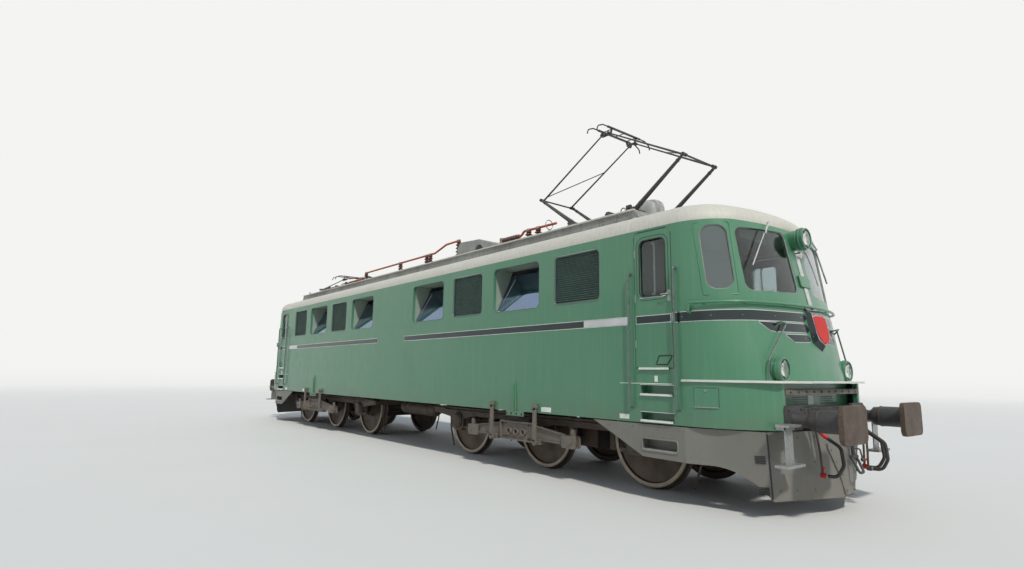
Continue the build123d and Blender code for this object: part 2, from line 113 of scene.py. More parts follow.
class LOCO_stage(bpy.types.PropertyGroup):
    """Floor, light and lens."""

    floor: colour_prop("Floor", "Plain pale studio floor", "#D9D8D4")
    lens: bpy.props.FloatProperty(name="Lens", description="Focal length", unit="CAMERA", default=20.463)
    sun: bpy.props.FloatProperty(name="Key strength", description="Strength of the soft key", default=2.6)
    sky: bpy.props.FloatProperty(name="Fill strength", description="Strength of the even fill", default=0.64)


# Materials


def add(tree, kind, settings=None, values=None, links=None):
    """Adds one shader node with its settings, socket values and links from output sockets."""
    made = tree.nodes.new(kind)
    for key, value in (settings or {}).items():
        setattr(made, key, value)
    for key, value in (values or {}).items():
        made.inputs[key].default_value = value
    for key, source in (links or {}).items():
        tree.links.new(source, made.inputs[key])
    return made


MIX_FACTOR, MIX_A, MIX_B, MIX_OUT = 0, 6, 7, 2


def layer(tree, under, over, mask):
    """Lays the colour over onto under where mask is 1."""
    mix = add(tree, "ShaderNodeMix", {"data_type": "RGBA"}, {MIX_B: over}, {MIX_FACTOR: mask})
    if isinstance(under, tuple):
        mix.inputs[MIX_A].default_value = under
    else:
        tree.links.new(under, mix.inputs[MIX_A])
    return mix.outputs[MIX_OUT]


def noise_mask(tree, place, size, low, high, strength, stretch=None, detail=4.0):
    """A mask from 0 to strength with features about size metres across, stretched by axis if asked."""
    if stretch:
        place = add(tree, "ShaderNodeMapping", None, {"Scale": stretch}, {"Vector": place}).outputs["Vector"]
    cloud = add(tree, "ShaderNodeTexNoise", None, {"Scale": 1 / size, "Detail": detail}, {"Vector": place})
    return add(
        tree, "ShaderNodeMapRange", None, {"From Min": low, "From Max": high, "To Max": strength},
        {"Value": cloud.outputs["Fac"]},
    ).outputs["Result"]


def finish(
    name, base, rough, cloud=None, spots=None, grain=None, streaks=None, dust=None, metallic=0.0, coat=0.0
):
    """One surface finish, laid up as the real one is.

    cloud, spots and streaks are (hex colour, feature size in metres, share). dust is (hex colour, height
    where it is full, height where it ends, share). grain is (feature size in metres, depth in metres).
    """
    material = bpy.data.materials.new(name)
    material.use_nodes = True
    tree = material.node_tree
    shader = tree.nodes["Principled BSDF"]
    place = add(tree, "ShaderNodeTexCoord").outputs["Object"]
    colour = base if isinstance(base, tuple) else linear(base)
    for mark, low, high, stretch, detail in (
        (cloud, 0.35, 0.7, None, 4.0),
        (streaks, 0.5, 0.78, (1.0, 1.0, 0.045), 6.0),
        (spots, 0.58, 0.72, None, 8.0),
    ):
        if mark:
            mask = noise_mask(tree, place, mark[1], low, high, mark[2], stretch, detail)
            colour = layer(tree, colour, linear(mark[0]), mask)
    if dust:
        height = add(tree, "ShaderNodeSeparateXYZ", None, None, {"Vector": place}).outputs["Z"]
        fall = add(
            tree, "ShaderNodeMapRange", {"interpolation_type": "SMOOTHSTEP"},
            {"From Min": dust[1], "From Max": dust[2], "To Min": dust[3], "To Max": 0.0}, {"Value": height},
        ).outputs["Result"]
        patch = noise_mask(tree, place, 0.35, 0.25, 0.75, 1.0, None, 8.0)
        both = add(tree, "ShaderNodeMath", {"operation": "MULTIPLY"}, None, {0: fall, 1: patch}).outputs[0]
        colour = layer(tree, colour, linear(dust[0]), both)
    if isinstance(colour, tuple):
        shader.inputs["Base Color"].default_value = colour
    else:
        tree.links.new(colour, shader.inputs["Base Color"])
    worn = noise_mask(tree, place, 0.22, 0.3, 0.75, rough[1] - rough[0], None, 6.0)
    level = add(tree, "ShaderNodeMath", {"operation": "ADD"}, {1: rough[0]}, {0: worn})
    tree.links.new(level.outputs[0], shader.inputs["Roughness"])
    shader.inputs["Metallic"].default_value = metallic
    shader.inputs["Coat Weight"].default_value = coat
    shader.inputs["Coat Roughness"].default_value = 0.08
    if grain:
        size = {"Scale": 1 / grain[0], "Detail": 5.0}
        bumps = add(tree, "ShaderNodeTexNoise", None, size, {"Vector": place})
        height = {"Height": bumps.outputs["Fac"]}
        bump = add(tree, "ShaderNodeBump", None, {"Distance": grain[1], "Strength": 1.0}, height)
        tree.links.new(bump.outputs["Normal"], shader.inputs["Normal"])
    return material


def glass(name, tint, rough=0.02):
    """Clear sheet glass: smooth, with a slight tint and a sharp reflection."""
    material = bpy.data.materials.new(name)
    material.use_nodes = True
    tree = material.node_tree
    shader = tree.nodes["Principled BSDF"]
    place = add(tree, "ShaderNodeTexCoord").outputs["Object"]
    film = noise_mask(tree, place, 0.25, 0.45, 0.8, 0.12, (1.0, 1.0, 0.3), 7.0)
    level = add(tree, "ShaderNodeMath", {"operation": "ADD"}, {1: rough}, {0: film})
    tree.links.new(level.outputs[0], shader.inputs["Roughness"])
    shader.inputs["Base Color"].default_value = linear(tint)
    shader.inputs["Transmission Weight"].default_value = 1.0
    shader.inputs["IOR"].default_value = 1.5
    return material


def filmed_glass():
    """Cab glass whose outer panes, beyond 1.15 m from the middle, carry a thin bluish sun film."""
    material = glass("laminated_cab_glass", "#C3CFD0")
    tree = material.node_tree
    shader = tree.nodes["Principled BSDF"]
    place = add(tree, "ShaderNodeTexCoord").outputs["Object"]
    across = add(tree, "ShaderNodeSeparateXYZ", None, None, {"Vector": place}).outputs["Y"]
    out = add(tree, "ShaderNodeMath", {"operation": "ABSOLUTE"}, None, {0: across}).outputs[0]
    outer = add(tree, "ShaderNodeMath", {"operation": "GREATER_THAN"}, {1: 1.15}, {0: out}).outputs[0]
    film = add(tree, "ShaderNodeMath", {"operation": "MULTIPLY"}, {1: 0.14}, {0: outer}).outputs[0]
    tree.links.new(film, shader.inputs["Metallic"])
    return material


def sill_and_glass():
    """Glass above the sill's height, blue and half metallic as a painted sky reflection; pale paint below it.
    """
    material = glass("sheet_glass_with_painted_sky_reflection", "#A9C2D2")
    tree = material.node_tree
    shader = tree.nodes["Principled BSDF"]
    place = add(tree, "ShaderNodeTexCoord").outputs["Object"]
    height = add(tree, "ShaderNodeSeparateXYZ", None, None, {"Vector": place}).outputs["Z"]
    sill = OPENING_LOW + 0.0125
    above = add(tree, "ShaderNodeMath", {"operation": "GREATER_THAN"}, {1: sill}, {0: height}).outputs[0]
    # Above the sill a blue tint and half metal paint the sky's reflection in the side windows
    tint = layer(tree, linear("#B9BDB6"), linear("#8FA9C9"), above)
    half = add(tree, "ShaderNodeMath", {"operation": "MULTIPLY"}, {1: 0.5}, {0: above}).outputs[0]
    tree.links.new(tint, shader.inputs["Base Color"])
    tree.links.new(above, shader.inputs["Transmission Weight"])
    tree.links.new(half, shader.inputs["Metallic"])
    return material


def make_finishes():
    """Makes every finish of the locomotive, by name."""
    paints = bpy.context.scene.loco_paints
    return {
        # Gloss alkyd enamel on sheet steel, sprayed: deep green with a clear skin, chalked in soft patches
        # and streaked by rain, with brake dust on its foot
        "body_enamel": finish(
            "green_gloss_enamel", tuple(paints.body), (0.28, 0.42), ("#568568", 0.9, 0.25),
            ("#365744", 0.006, 0.25), (0.004, 0.00006), streaks=("#86A494", 0.05, 0.1),
            dust=("#5C5B4C", 0.95, 1.35, 0.45), coat=0.35
        ),
        # Pale roof paint, brushed on: matt, with soot and rain marks
        "roof_paint": finish(
            "pale_roof_paint", tuple(paints.roof), (0.5, 0.7), ("#BDB9AE", 0.5, 0.5), ("#7E7A70", 0.012, 0.4),
            (0.006, 0.0002), streaks=("#8F8A7F", 0.03, 0.3)
        ),
        # The raised roof deck: the same paint under years of carbon dust from the collector strips
        "deck_paint": finish(
            "weathered_deck_paint", tuple(paints.deck), (0.55, 0.8), ("#5F5D58", 0.6, 0.6),
            ("#3B3833", 0.02, 0.6), (0.008, 0.0003), streaks=("#4C4843", 0.04, 0.4)
        ),
        # Pale grey hood paint, sprayed: satin and dusty on top
        "dome_paint": finish(
            "pale_hood_paint", "#A9AAA4", (0.35, 0.55), ("#8E8F89", 0.15, 0.5), ("#6C6A64", 0.012, 0.35),
            (0.004, 0.0001), coat=0.1
        ),
        # Satin chassis paint on the ploughs and skirts: warm grey, scuffed, with rust-brown dust low down
        "skirt_paint": finish(
            "satin_chassis_grey", tuple(paints.skirt), (0.42, 0.6), ("#7E7D75", 0.5, 0.45),
            ("#4A4842", 0.01, 0.3), (0.005, 0.00015), streaks=("#6A675F", 0.03, 0.3),
            dust=("#7A6A57", 0.15, 0.6, 0.35)
        ),
        # Cast and forged steel under oil and brake dust: nearly black-brown, matt with greasy spots
        "gear_steel": finish(
            "dusty_forged_steel", tuple(paints.gear), (0.45, 0.8), ("#5A4A3C", 0.3, 0.6),
            ("#17140F", 0.02, 0.6), (0.01, 0.0006), dust=("#6A5846", 0.0, 0.5, 0.35), metallic=0.15
        ),
        # Inner machine room and cab paint: plain pale green-grey
        "inner_paint": finish(
            "inner_grey_green_paint", "#8E9A8C", (0.5, 0.65), ("#7D8A7C", 0.4, 0.5), ("#5C6459", 0.015, 0.3),
            (0.005, 0.0001)
        ),
        # Polished aluminium trim: bright and smooth with faint wiping marks
        "polished_trim": finish(
            "polished_aluminium", "#D6D8D8", (0.08, 0.24), ("#AEB2B2", 0.12, 0.4), ("#8C8E8C", 0.004, 0.25),
            (0.003, 0.00002), metallic=1.0
        ),
        # Dark enamel laid in the trim bands
        "band_enamel": finish(
            "dark_band_enamel", "#0B1F1E", (0.1, 0.2), ("#15302F", 0.3, 0.5), coat=0.35
        ),
        # Forged buffer steel: brown oxide skin polished where the faces rub
        "buffer_steel": finish(
            "rubbed_buffer_steel", "#5E5045", (0.35, 0.7), ("#4A3F36", 0.12, 0.6), ("#8A7F74", 0.03, 0.5),
            (0.006, 0.0005), metallic=0.55
        ),
        # Black-grey oil paint on buffer tubes and brackets
        "tube_paint": finish(
            "oiled_black_paint", "#3A3A3B", (0.35, 0.6), ("#4B4A48", 0.2, 0.5), ("#6A5C4C", 0.02, 0.35),
            (0.006, 0.0003), metallic=0.1
        ),
        # Galvanised steel of the treads, rails and brackets: dull pale grey with darker blooms
        "galvanised": finish(
            "galvanised_steel", "#A7A9A6", (0.35, 0.55), ("#8B8E8C", 0.03, 0.7), ("#6D6A63", 0.01, 0.4),
            (0.003, 0.0001), metallic=0.7
        ),
        # Glazed brown porcelain of the roof insulators: glassy skin over dark brown clay
        "porcelain": finish(
            "brown_glazed_porcelain", "#4A1F14", (0.06, 0.16), ("#6A3220", 0.05, 0.5), ("#2A1510", 0.01, 0.3),
            coat=0.6
        ),
        # Orange oxide paint on the copper conductors
        "conductor_paint": finish(
            "orange_oxide_paint", tuple(paints.conductor), (0.4, 0.6), ("#8E4020", 0.1, 0.5),
            ("#5B2C1A", 0.01, 0.4), (0.004, 0.0001)
        ),
        # Drawn steel tube of the pantographs: dark, dry and dusty
        "panto_steel": finish(
            "drawn_tube_steel", "#4C4A47", (0.35, 0.6), ("#5F5A54", 0.15, 0.5), ("#2C2926", 0.01, 0.4),
            (0.004, 0.0001), metallic=0.5
        ),
        # Fine louvre slats in dark green paint
        "louvre_paint": finish(
            "dark_green_slat_paint", "#5A6F68", (0.35, 0.55), ("#46584F", 0.3, 0.4), ("#1E2A25", 0.01, 0.4),
            streaks=("#59655D", 0.02, 0.4)
        ),
        # Moulded window rubber, weathered pale at its lips
        "seal_rubber": finish(
            "weathered_seal_rubber", "#8F938E", (0.6, 0.8), ("#6F736F", 0.04, 0.6), ("#4A4C4A", 0.006, 0.4),
            (0.002, 0.0001)
        ),
        # Red enamel of the plain shield
        "shield_enamel": finish(
            "red_shield_enamel", tuple(paints.emblem), (0.5, 0.6), ("#A3141B", 0.1, 0.3)
        ),
        # Tyre steel of the wheels: pale dust over a turned rim
        "wheel_steel": finish(
            "dusty_tyre_steel", "#463B32", (0.4, 0.7), ("#5E5042", 0.2, 0.6), ("#2B241D", 0.02, 0.5),
            (0.008, 0.0003), metallic=0.35
        ),
        # Tyre faces, turned and then rubbed bright under pale brake dust
        "tyre_steel": finish(
            "bright_dusty_tyre", "#9A8F7E", (0.35, 0.55), ("#7D7263", 0.1, 0.6), ("#5A5044", 0.01, 0.4),
            (0.005, 0.0002), metallic=0.3
        ),
        # White marking paint of blank plates, lines and sills
        "white_paint": finish(
            "white_marking_paint", "#DEDFDA", (0.4, 0.6), ("#C2C3BD", 0.1, 0.5), ("#8E8B82", 0.008, 0.35),
            (0.003, 0.0001)
        ),
        # Pale ledge paint, scuffed by boots to a grey-green
        "ledge_paint": finish(
            "scuffed_ledge_paint", "#D2D3C9", (0.45, 0.65), ("#B9BBB1", 0.2, 0.5), ("#7C7E75", 0.01, 0.45),
            (0.004, 0.0002)
        ),
        # Black moulded rubber of the door seals and brackets; also black painted shade in the tool flap gap,
        # the beam holes and the plough's groove
        "rubber_and_shade_black": finish(
            "black_rubber_and_painted_shade", "#232424", (0.55, 0.75), ("#343534", 0.04, 0.5), ("#4A4946", 0.008, 0.3),
            (0.002, 0.0001)
        ),
        # Woven hose rubber: black with a fine fabric grain and dusty bends
        "hose_rubber": finish(
            "woven_hose_rubber", "#2A2A29", (0.6, 0.8), ("#46443F", 0.06, 0.6), ("#151515", 0.004, 0.6),
            (0.0015, 0.0004)
        ),
        # Handrail gloss, rubbed smooth by hands: its dark green-grey is a painted reflection of dark
        # surroundings in polished rails
        "rail_gloss_as_reflection": finish(
            "handrail_gloss_as_dark_reflection", "#4E6258", (0.22, 0.4), ("#5F7268", 0.06, 0.5), ("#2F3B35", 0.006, 0.35),
            (0.003, 0.0001), coat=0.3
        ),
        # Grey-brown dusty paint of the spring beams
        "beam_paint": finish(
            "dusty_beam_paint", "#5E5852", (0.5, 0.75), ("#766D62", 0.25, 0.6), ("#37322C", 0.015, 0.5),
            (0.006, 0.0004), dust=("#7A6B58", 0.4, 0.8, 0.3)
        ),
        # Laminated glass of the cab windows, with a thin film of dust
        "cab_glass": filmed_glass(),
        "door_glass": glass("laminated_door_glass", "#C3CFD0"),
        # Side window glass, its blue tint and half metal a painted reflection of the sky, over pale painted
        # sills
        "side_glass": sill_and_glass(),
        # Clear pressed glass of the lamps
        "lamp_glass": glass("pressed_lamp_glass", "#F2F4F0", 0.04),
    }


FINISHES = {}
# The imported parts, by the start of their names, whose material slot each finish is put in
CAD_FINISHES = {
    "body_enamel": ["side_walls", "door_surrounds", "cab_shell", "aprons", "cab_door", "headlamps"],
    "roof_paint": ["machine_roof", "cab_roofs"],
    "deck_paint": ["raised_roof", "roof_hood", "shaft_hoods"],
    "skirt_paint": ["bogie_skirt"],
    "gear_steel": ["underframe", "bogie_frame", "traction_motors"],
    "beam_paint": ["spring_beams"],
    "inner_paint": ["cab_bulkheads", "transformer", "driving_desks"],
    "ledge_paint": ["front_ledges"],
    "rail_gloss_as_reflection": ["door_handrails"],
    "buffer_steel": ["buffer_heads"],
    "tube_paint": ["buffer_shanks", "drawhooks"],
    "porcelain": ["roof_insulators"],
    "conductor_paint": ["roof_conductor"],
    "panto_steel": ["pantograph", "lower_arm", "upper_arm"],
    "louvre_paint": ["side_louvres"],
    "wheel_steel": ["wheelset"],
    "cab_glass": ["cab_glazing"],
    "side_glass": ["side_glazing"],
}


class LOCO_OT_finishes(bpy.types.Operator):
    """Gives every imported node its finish."""

    bl_idname = "loco.finishes"
    bl_label = "Finish the packed nodes"

    def execute(self, context):
        FINISHES.update(make_finishes())
        for node_name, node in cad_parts.items():
            found = [key for key, starts in CAD_FINISHES.items() if node_name.startswith(tuple(starts))]
            if len(found) != 1:
                raise RuntimeError(f"{node_name} has {len(found)} finishes and needs one")
            node.data.materials.clear()
            node.data.materials.append(FINISHES[found[0]])
        return {"FINISHED"}


# Shape tools


STILL = Matrix.Identity(4)
# Copies that a piece can have: its mirror images across X = 0 and Y = 0, and itself turned round half a turn
COPIES = {
    "X": Matrix.Diagonal((-1, 1, 1, 1)),
    "Y": Matrix.Diagonal((1, -1, 1, 1)),
    "R": Matrix.Diagonal((-1, -1, 1, 1)),
}


def circle(radius, steps):
    return [(radius * cos(a), radius * sin(a)) for a in (2 * pi * k / steps for k in range(steps))]


def moved(x, y, z, turn=STILL):
    """The matrix that turns a piece and then moves it."""
    return Matrix.Translation((x, y, z)) @ turn


def facing(axis):
    """The matrix that turns Z to an axis."""
    return Vector(axis).to_track_quat("Z", "Y").to_matrix().to_4x4()


class Shape:
    """Collects the faces of one piece."""

    def __init__(self):
        self.mesh = bmesh.new()

    def skin(self, rings, closed=False):
        """Joins rings of as many points each, and caps both ends unless the last ring meets the first."""
        made = [[self.mesh.verts.new(p) for p in ring] for ring in rings]
        for low, high in zip(made, made[1:] + made[:1] if closed else made[1:]):
            for k in range(len(low)):
                n = (k + 1) % len(low)
                self.mesh.faces.new((low[k], low[n], high[n], high[k]))
        if not closed:
            self.mesh.faces.new(list(reversed(made[0])))
            self.mesh.faces.new(made[-1])

    def prism(self, outline, depth, place=STILL):
        """Extrudes an outline given in the place's own X and Y by depth along its Z."""
        self.skin([[place @ Vector((x, y, z)) for x, y in outline] for z in (0, depth)])

    def box(self, low, high, place=STILL):
        (x0, y0, z0), (x1, y1, z1) = low, high
        self.prism([(x0, y0), (x1, y0), (x1, y1), (x0, y1)], z1 - z0, place @ moved(0, 0, z0))

    def boxes(self, low, high):
        """A box and its mirror image across Y = 0."""
        (x0, y0, z0), (x1, y1, z1) = low, high
        self.box(low, high)
        self.box((x0, -y1, z0), (x1, -y0, z1))

    def plate(self, outline, y0, y1):
        """A plate with an outline along X and Z, from y0 to y1."""
        low, high = sorted((y0, y1))
        self.prism(outline, high - low, moved(0, high, 0, SIDE_PLANE))

    def turned(self, profile, place=STILL, steps=24, closed=False):
        """Turns a profile of (radius, height) about the place's own Z. A closed profile makes a ring."""
        rings = [[place @ Vector((x, y, height)) for x, y in circle(r, steps)] for r, height in profile]
        self.skin(rings, closed)

    def ring(self, inner, outer, back, front, place, steps):
        self.turned([(inner, back), (outer, back), (outer, front), (inner, front)], place, steps, True)

    def tube(self, points, radius, sides=10, closed=False):
        """Sweeps a round section along points."""
        points = [Vector(p) for p in points]
        count = len(points)
        normal = None
        rings = []
        for i, point in enumerate(points):
            before = points[(i - 1) % count] if closed or i else point
            after = points[(i + 1) % count] if closed or i < count - 1 else point
            along = (after - before).normalized()
            if normal is None:
                normal = along.orthogonal().normalized()
            normal = (normal - along * normal.dot(along)).normalized()
            other = along.cross(normal)
            rings.append([point + normal * a + other * b for a, b in circle(radius, sides)])
        self.skin(rings, closed)

    def pin(self, x, z, y0, y1, radius, sides):
        """A round bar along Y."""
        self.tube([(x, y0, z), (x, y1, z)], radius, sides)

    def bead(self, outline, y, radius, sides=8):
        """A round bead along a closed outline in X and Z."""
        self.tube([(x, y, z) for x, z in outline], radius, sides, True)

    def cone(self, start, end, start_radius, end_radius, steps=16):
        """A straight bar that tapers from one radius to another."""
        run = Vector(end) - Vector(start)
        self.turned([(start_radius, 0), (end_radius, run.length)], moved(*start, facing(run)), steps)

    def sheet(self, top, bottom, low, high, steps=24):
        """A thin plate on the cab's skin between two rows of (u, z), from low to high proud of it."""
        start, end = max(top[0][0], bottom[0][0]), min(top[-1][0], bottom[-1][0])
        rings = []
        for k in range(steps + 1):
            u = start + (end - start) * k / steps
            z0, z1 = between(bottom, u), between(top, u)
            rings.append([cab_skin(u, z, out) for z, out in ((z0, low), (z0, high), (z1, high), (z1, low))])
        self.skin(rings)

    def bolt(self, place, axis, radius):
        """A domed bolt head on its washer, standing along axis from place."""
        profile = [(1.35, 0), (1.35, 0.2), (1, 0.2), (1, 0.75), (0.7, 1)]
        self.turned([(radius * r, radius * h) for r, h in profile], moved(*place, facing(axis)), 8)

    def bolts(self, places, axis, radius):
        """A bolt head at each place and at its mirror image across Y = 0."""
        for x, y, z in places:
            for side in (-1, 1):
                self.bolt((x, side * y, z), (axis[0], side * axis[1], axis[2]), radius)

    def repeat(self, turn):
        """Adds a copy that a matrix moves."""
        copy = bmesh.ops.duplicate(self.mesh, geom=[*self.mesh.verts, *self.mesh.edges, *self.mesh.faces])
        verts = [part for part in copy["geom"] if isinstance(part, bmesh.types.BMVert)]
        bmesh.ops.transform(self.mesh, matrix=turn, verts=verts)

    def place(self, name, key, copies="", bevel=0.0, slot=None, body="carbody", corner=None, instead=None):
        """Makes the object with its finish, on a body, in place of a plain node if one is named.

        A piece made for the front right corner goes to another one by corner, which is (end, side).
        """
        for letter in copies:
            self.repeat(COPIES[letter])
        if corner:
            turn = Matrix.Diagonal((corner[0], -corner[1], 1, 1))
            bmesh.ops.transform(self.mesh, matrix=turn, verts=list(self.mesh.verts))
        bmesh.ops.recalc_face_normals(self.mesh, faces=list(self.mesh.faces))
        data = bpy.data.meshes.new(name)
        self.mesh.to_mesh(data)
        self.mesh.free()
        made = bpy.data.objects.new(name, data)
        bpy.context.scene.collection.objects.link(made)
        data.materials.append(FINISHES[key])
        if bevel:
            edge = made.modifiers.new("Edges", "BEVEL")
            edge.width = bevel
            edge.segments = 2
            edge.limit_method = "ANGLE"
            edge.angle_limit = radians(40)
        data.shade_smooth()
        data.set_sharp_from_angle(angle=radians(35))
        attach(made, body)
        if instead:
            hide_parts(instead)


# Places on the cab


def cab_skin(u, z, out=0.0):
    """A point of the cab's right side, moved out along its plan normal.

    u runs from 0 at the middle of the face over 1 at the pillar to 2 at the end of the round corner, and each
    further unit is a metre along the straight side.
    """
    share = (z - CAB_LOW[0]) / (CAB_HIGH[0] - CAB_LOW[0])
    _, side_x, pillar_x, pillar_y, front_x = (a + (b - a) * share for a, b in zip(CAB_LOW, CAB_HIGH))
    if abs(u) <= 1:
        sag = front_x - pillar_x
        radius = (pillar_y**2 + sag**2) / (2 * sag)
        y = -u * pillar_y
        x = front_x - radius + sqrt(radius**2 - y**2)
        normal = Vector((x - front_x + radius, y)).normalized()
    else:
        drop = HALF_WIDTH - pillar_y
        radius = ((pillar_x - side_x) ** 2 + drop**2) / (2 * drop)
        whole = atan2(pillar_x - side_x, radius - drop)
        angle = max(0.0, 2 - u) * whole
        normal = Vector((sin(angle), -cos(angle)))
        x = side_x + radius * sin(angle) - max(0.0, u - 2)
        y = -(HALF_WIDTH - radius) - radius * cos(angle)
    return Vector((x + normal.x * out, y + normal.y * out, z))


def between(row, value):
    """The height of a row of (place, height) points at a place."""
    for (a, low), (b, high) in zip(row, row[1:]):
        if value <= b:
            return low + (high - low) * (value - a) / (b - a)
    return row[-1][1]


def rounded(points, radius, steps=6):
    """Rounds the corners of a flat closed outline."""
    made = []
    count = len(points)
    for i in range(count):
        before, here, after = (Vector(points[(i + k) % count]) for k in (-1, 0, 1))
        a, b = (before - here).normalized(), (after - here).normalized()
        half = a.angle(b) / 2
        reach = radius / tan(half)
        middle = here + (a + b).normalized() * (radius / sin(half))
        start, end = here + a * reach - middle, here + b * reach - middle
        for k in range(steps + 1):
            spoke = start.lerp(end, k / steps).normalized() * radius
            made.append(middle + spoke)
    return made


def bend(points, radius, steps=5):
    """Rounds the corners of a line through space."""
    points = [Vector(p) for p in points]
    made = [points[0]]
    for before, here, after in zip(points, points[1:], points[2:]):
        a, b = before - here, after - here
        reach = min(radius / tan(a.angle(b) / 2), a.length * 0.49, b.length * 0.49)
        start, end = here + a.normalized() * reach, here + b.normalized() * reach
        for k in range(steps + 1):
            t = k / steps
            made.append(start * (1 - t) ** 2 + here * 2 * t * (1 - t) + end * t**2)
    return made + [points[-1]]


def rectangle(x, z, width, height):
    a, b = width / 2, height / 2
    return [(x - a, z - b), (x + a, z - b), (x + a, z + b), (x - a, z + b)]


# Wheels, axles and bogie frames

# Wheel section. columns: radius, distance from the middle of the wheelset
WHEEL_SECTION = [
    (0.185, 0.64), (0.185, 0.655), (0.215, 0.716), (0.545, 0.729), (0.56, 0.692), (0.57, 0.68), (0.64, 0.68),
    (0.656, 0.688), (0.6599, 0.696), (0.655, 0.706), (0.637, 0.713), (0.63, 0.722), (0.627, 0.806),
    (0.618, 0.815), (0.57, 0.808), (0.558, 0.774), (0.54, 0.763), (0.215, 0.748), (0.19, 0.8), (0.185, 0.868),
]
TYRE_SECTION = [(0.574, 0.806), (0.6285, 0.802), (0.6285, 0.808), (0.619, 0.8165), (0.574, 0.81)]
AXLE_SECTION = [
    (0.098, -0.955), (0.1, -0.9), (0.184, -0.86), (0.184, -0.64), (0.115, -0.6), (0.105, 0.0), (0.115, 0.6),
    (0.184, 0.64), (0.184, 0.86), (0.1, 0.9), (0.098, 0.955),
]
AXLES = (AXLE_STEP, 0.0, -AXLE_STEP)
SIDE_BEAM = [
    (-3.01, 0.78), (-3.01, 0.86), (-2.9, 0.9), (2.9, 0.9), (3.01, 0.86), (3.01, 0.78), (2.48, 0.72),
    (2.36, 0.7), (1.94, 0.7), (1.7, 0.76), (0.45, 0.76), (0.21, 0.7), (-0.21, 0.7), (-0.45, 0.76),
    (-1.7, 0.76), (-1.94, 0.7), (-2.36, 0.7), (-2.48, 0.72),
]
TOP_FLANGE = [(-3.01, 0.866), (-2.9, 0.902), (2.9, 0.902), (3.01, 0.866), (3.01, 0.85), (-3.01, 0.85)]
BOX_COVER = [(0.15, 0.0), (0.15, 0.026), (0.128, 0.03), (0.12, 0.052), (0.096, 0.06)]
SPRING_X = 0.262


class LOCO_OT_wheels(bpy.types.Operator):
    """Turns the six wheelsets with their treads, flanges, hubs and axles."""

    bl_idname = "loco.wheels"
    bl_label = "Turn the wheelsets"

    def execute(self, context):
        for end_name, end in ENDS.items():
            for number, offset in enumerate(AXLES, 1):
                name = f"wheelset_{end_name}_{number}"
                wheels = Shape()
                at = moved(end * (PIVOT_X + offset), 0, AXLE_Z, ALONG_Y)
                wheels.turned(AXLE_SECTION, at, 40)
                for side in (1, -1):
                    wheels.turned([(radius, side * y) for radius, y in WHEEL_SECTION], at, 96, True)
                wheels.place(f"turned_{name}", "wheel_steel", body=name, instead=name)
                tyres = Shape()
                for side in (1, -1):
                    tyres.turned([(radius, side * y) for radius, y in TYRE_SECTION], at, 96, True)
                tyres.place(f"tyre_faces_{end_name}_{number}", "tyre_steel", body=name)
        return {"FINISHED"}


def axle_guide(beams, springs, x):
    """An axle box in its guide between two coil springs."""
    low, high = AXLE_Z - 0.185, 0.72
    shape = [(x - 0.19, high), (x - 0.165, AXLE_Z - 0.13), (x - 0.11, low), (x + 0.11, low)]
    beams.plate(shape + [(x + 0.165, AXLE_Z - 0.13), (x + 0.19, high)], 0.96, 1.12)
    beams.turned(BOX_COVER, moved(x, 1.12, AXLE_Z, ALONG_Y), 36)
    for sign in (-1, 1):
        at = x + sign * SPRING_X
        beams.box((min(x, at), 0.99, 0.52), (max(x, at), 1.1, 0.556))
        beams.cone((at, 1.04, 0.5), (at, 1.04, 0.556), 0.062, 0.062, 20)
        coil = []
        for k in range(6 * 12 + 1):
            turn = 2 * pi * k / 12
            coil.append((at + 0.049 * cos(turn), 1.04 + 0.049 * sin(turn), 0.562 + 0.196 * k / 72))
        springs.tube(coil, 0.0105, 8)


def brake_shoe(beams, x, sign):
    """A brake block hung beside a tread."""
    inner, outer = 0.639, 0.691
    angles = [radians(-17 + 28 * k / 10) for k in range(11)]
    arc = [(x + sign * inner * cos(a), AXLE_Z + inner * sin(a)) for a in angles]
    arc += [(x + sign * outer * cos(a), AXLE_Z + outer * sin(a)) for a in reversed(angles)]
    beams.plate(arc, 0.73, 0.81)
    hang = x + sign * 0.702
    beams.box((hang - 0.017, 0.742, AXLE_Z - 0.06), (hang + 0.017, 0.798, 0.832))
    beams.pin(hang, 0.822, 0.725, 0.985, 0.022, 12)


class LOCO_OT_bogie_frames(bpy.types.Operator):
    """Builds the bogie frames with axle guides, coil springs, brake shoes and sand pipes."""

    bl_idname = "loco.bogie_frames"
    bl_label = "Build the bogie frames"

    def execute(self, context):
        for end_name, end in ENDS.items():
            body = f"bogie_{end_name}"
            beams, springs = Shape(), Shape()
            beams.plate([(PIVOT_X + x, z) for x, z in SIDE_BEAM], 0.97, 1.11)
            beams.plate([(PIVOT_X + x, z) for x, z in TOP_FLANGE], 0.96, 1.12)
            for x in AXLES:
                axle_guide(beams, springs, PIVOT_X + x)
                for sign in (-1, 1):
                    brake_shoe(beams, PIVOT_X + x, sign)
            for sign in (-1, 1):
                route = [(2.955, 0.99, 0.8), (2.955, 0.748, 0.8), (2.92, 0.748, 0.42), (2.8, 0.748, 0.1)]
                beams.tube(bend([(PIVOT_X + sign * x, y, z) for x, y, z in route], 0.06), 0.016, 10)
            beams.repeat(COPIES["Y"])
            for x in (-2.93, -1.075, 1.075, 2.93):
                beams.box((PIVOT_X + x - 0.07, -0.975, 0.772), (PIVOT_X + x + 0.07, 0.975, 0.892))
            frame_name = f"bogie_frame_{end_name}"
            turned = {"body": body, "corner": (end, -1)}
            beams.place(f"built_{frame_name}", "gear_steel", bevel=0.004, instead=frame_name, **turned)
            springs.place(f"coil_springs_{end_name}", "gear_steel", "Y", **turned)
        return {"FINISHED"}


# Underframe, aprons and step pockets

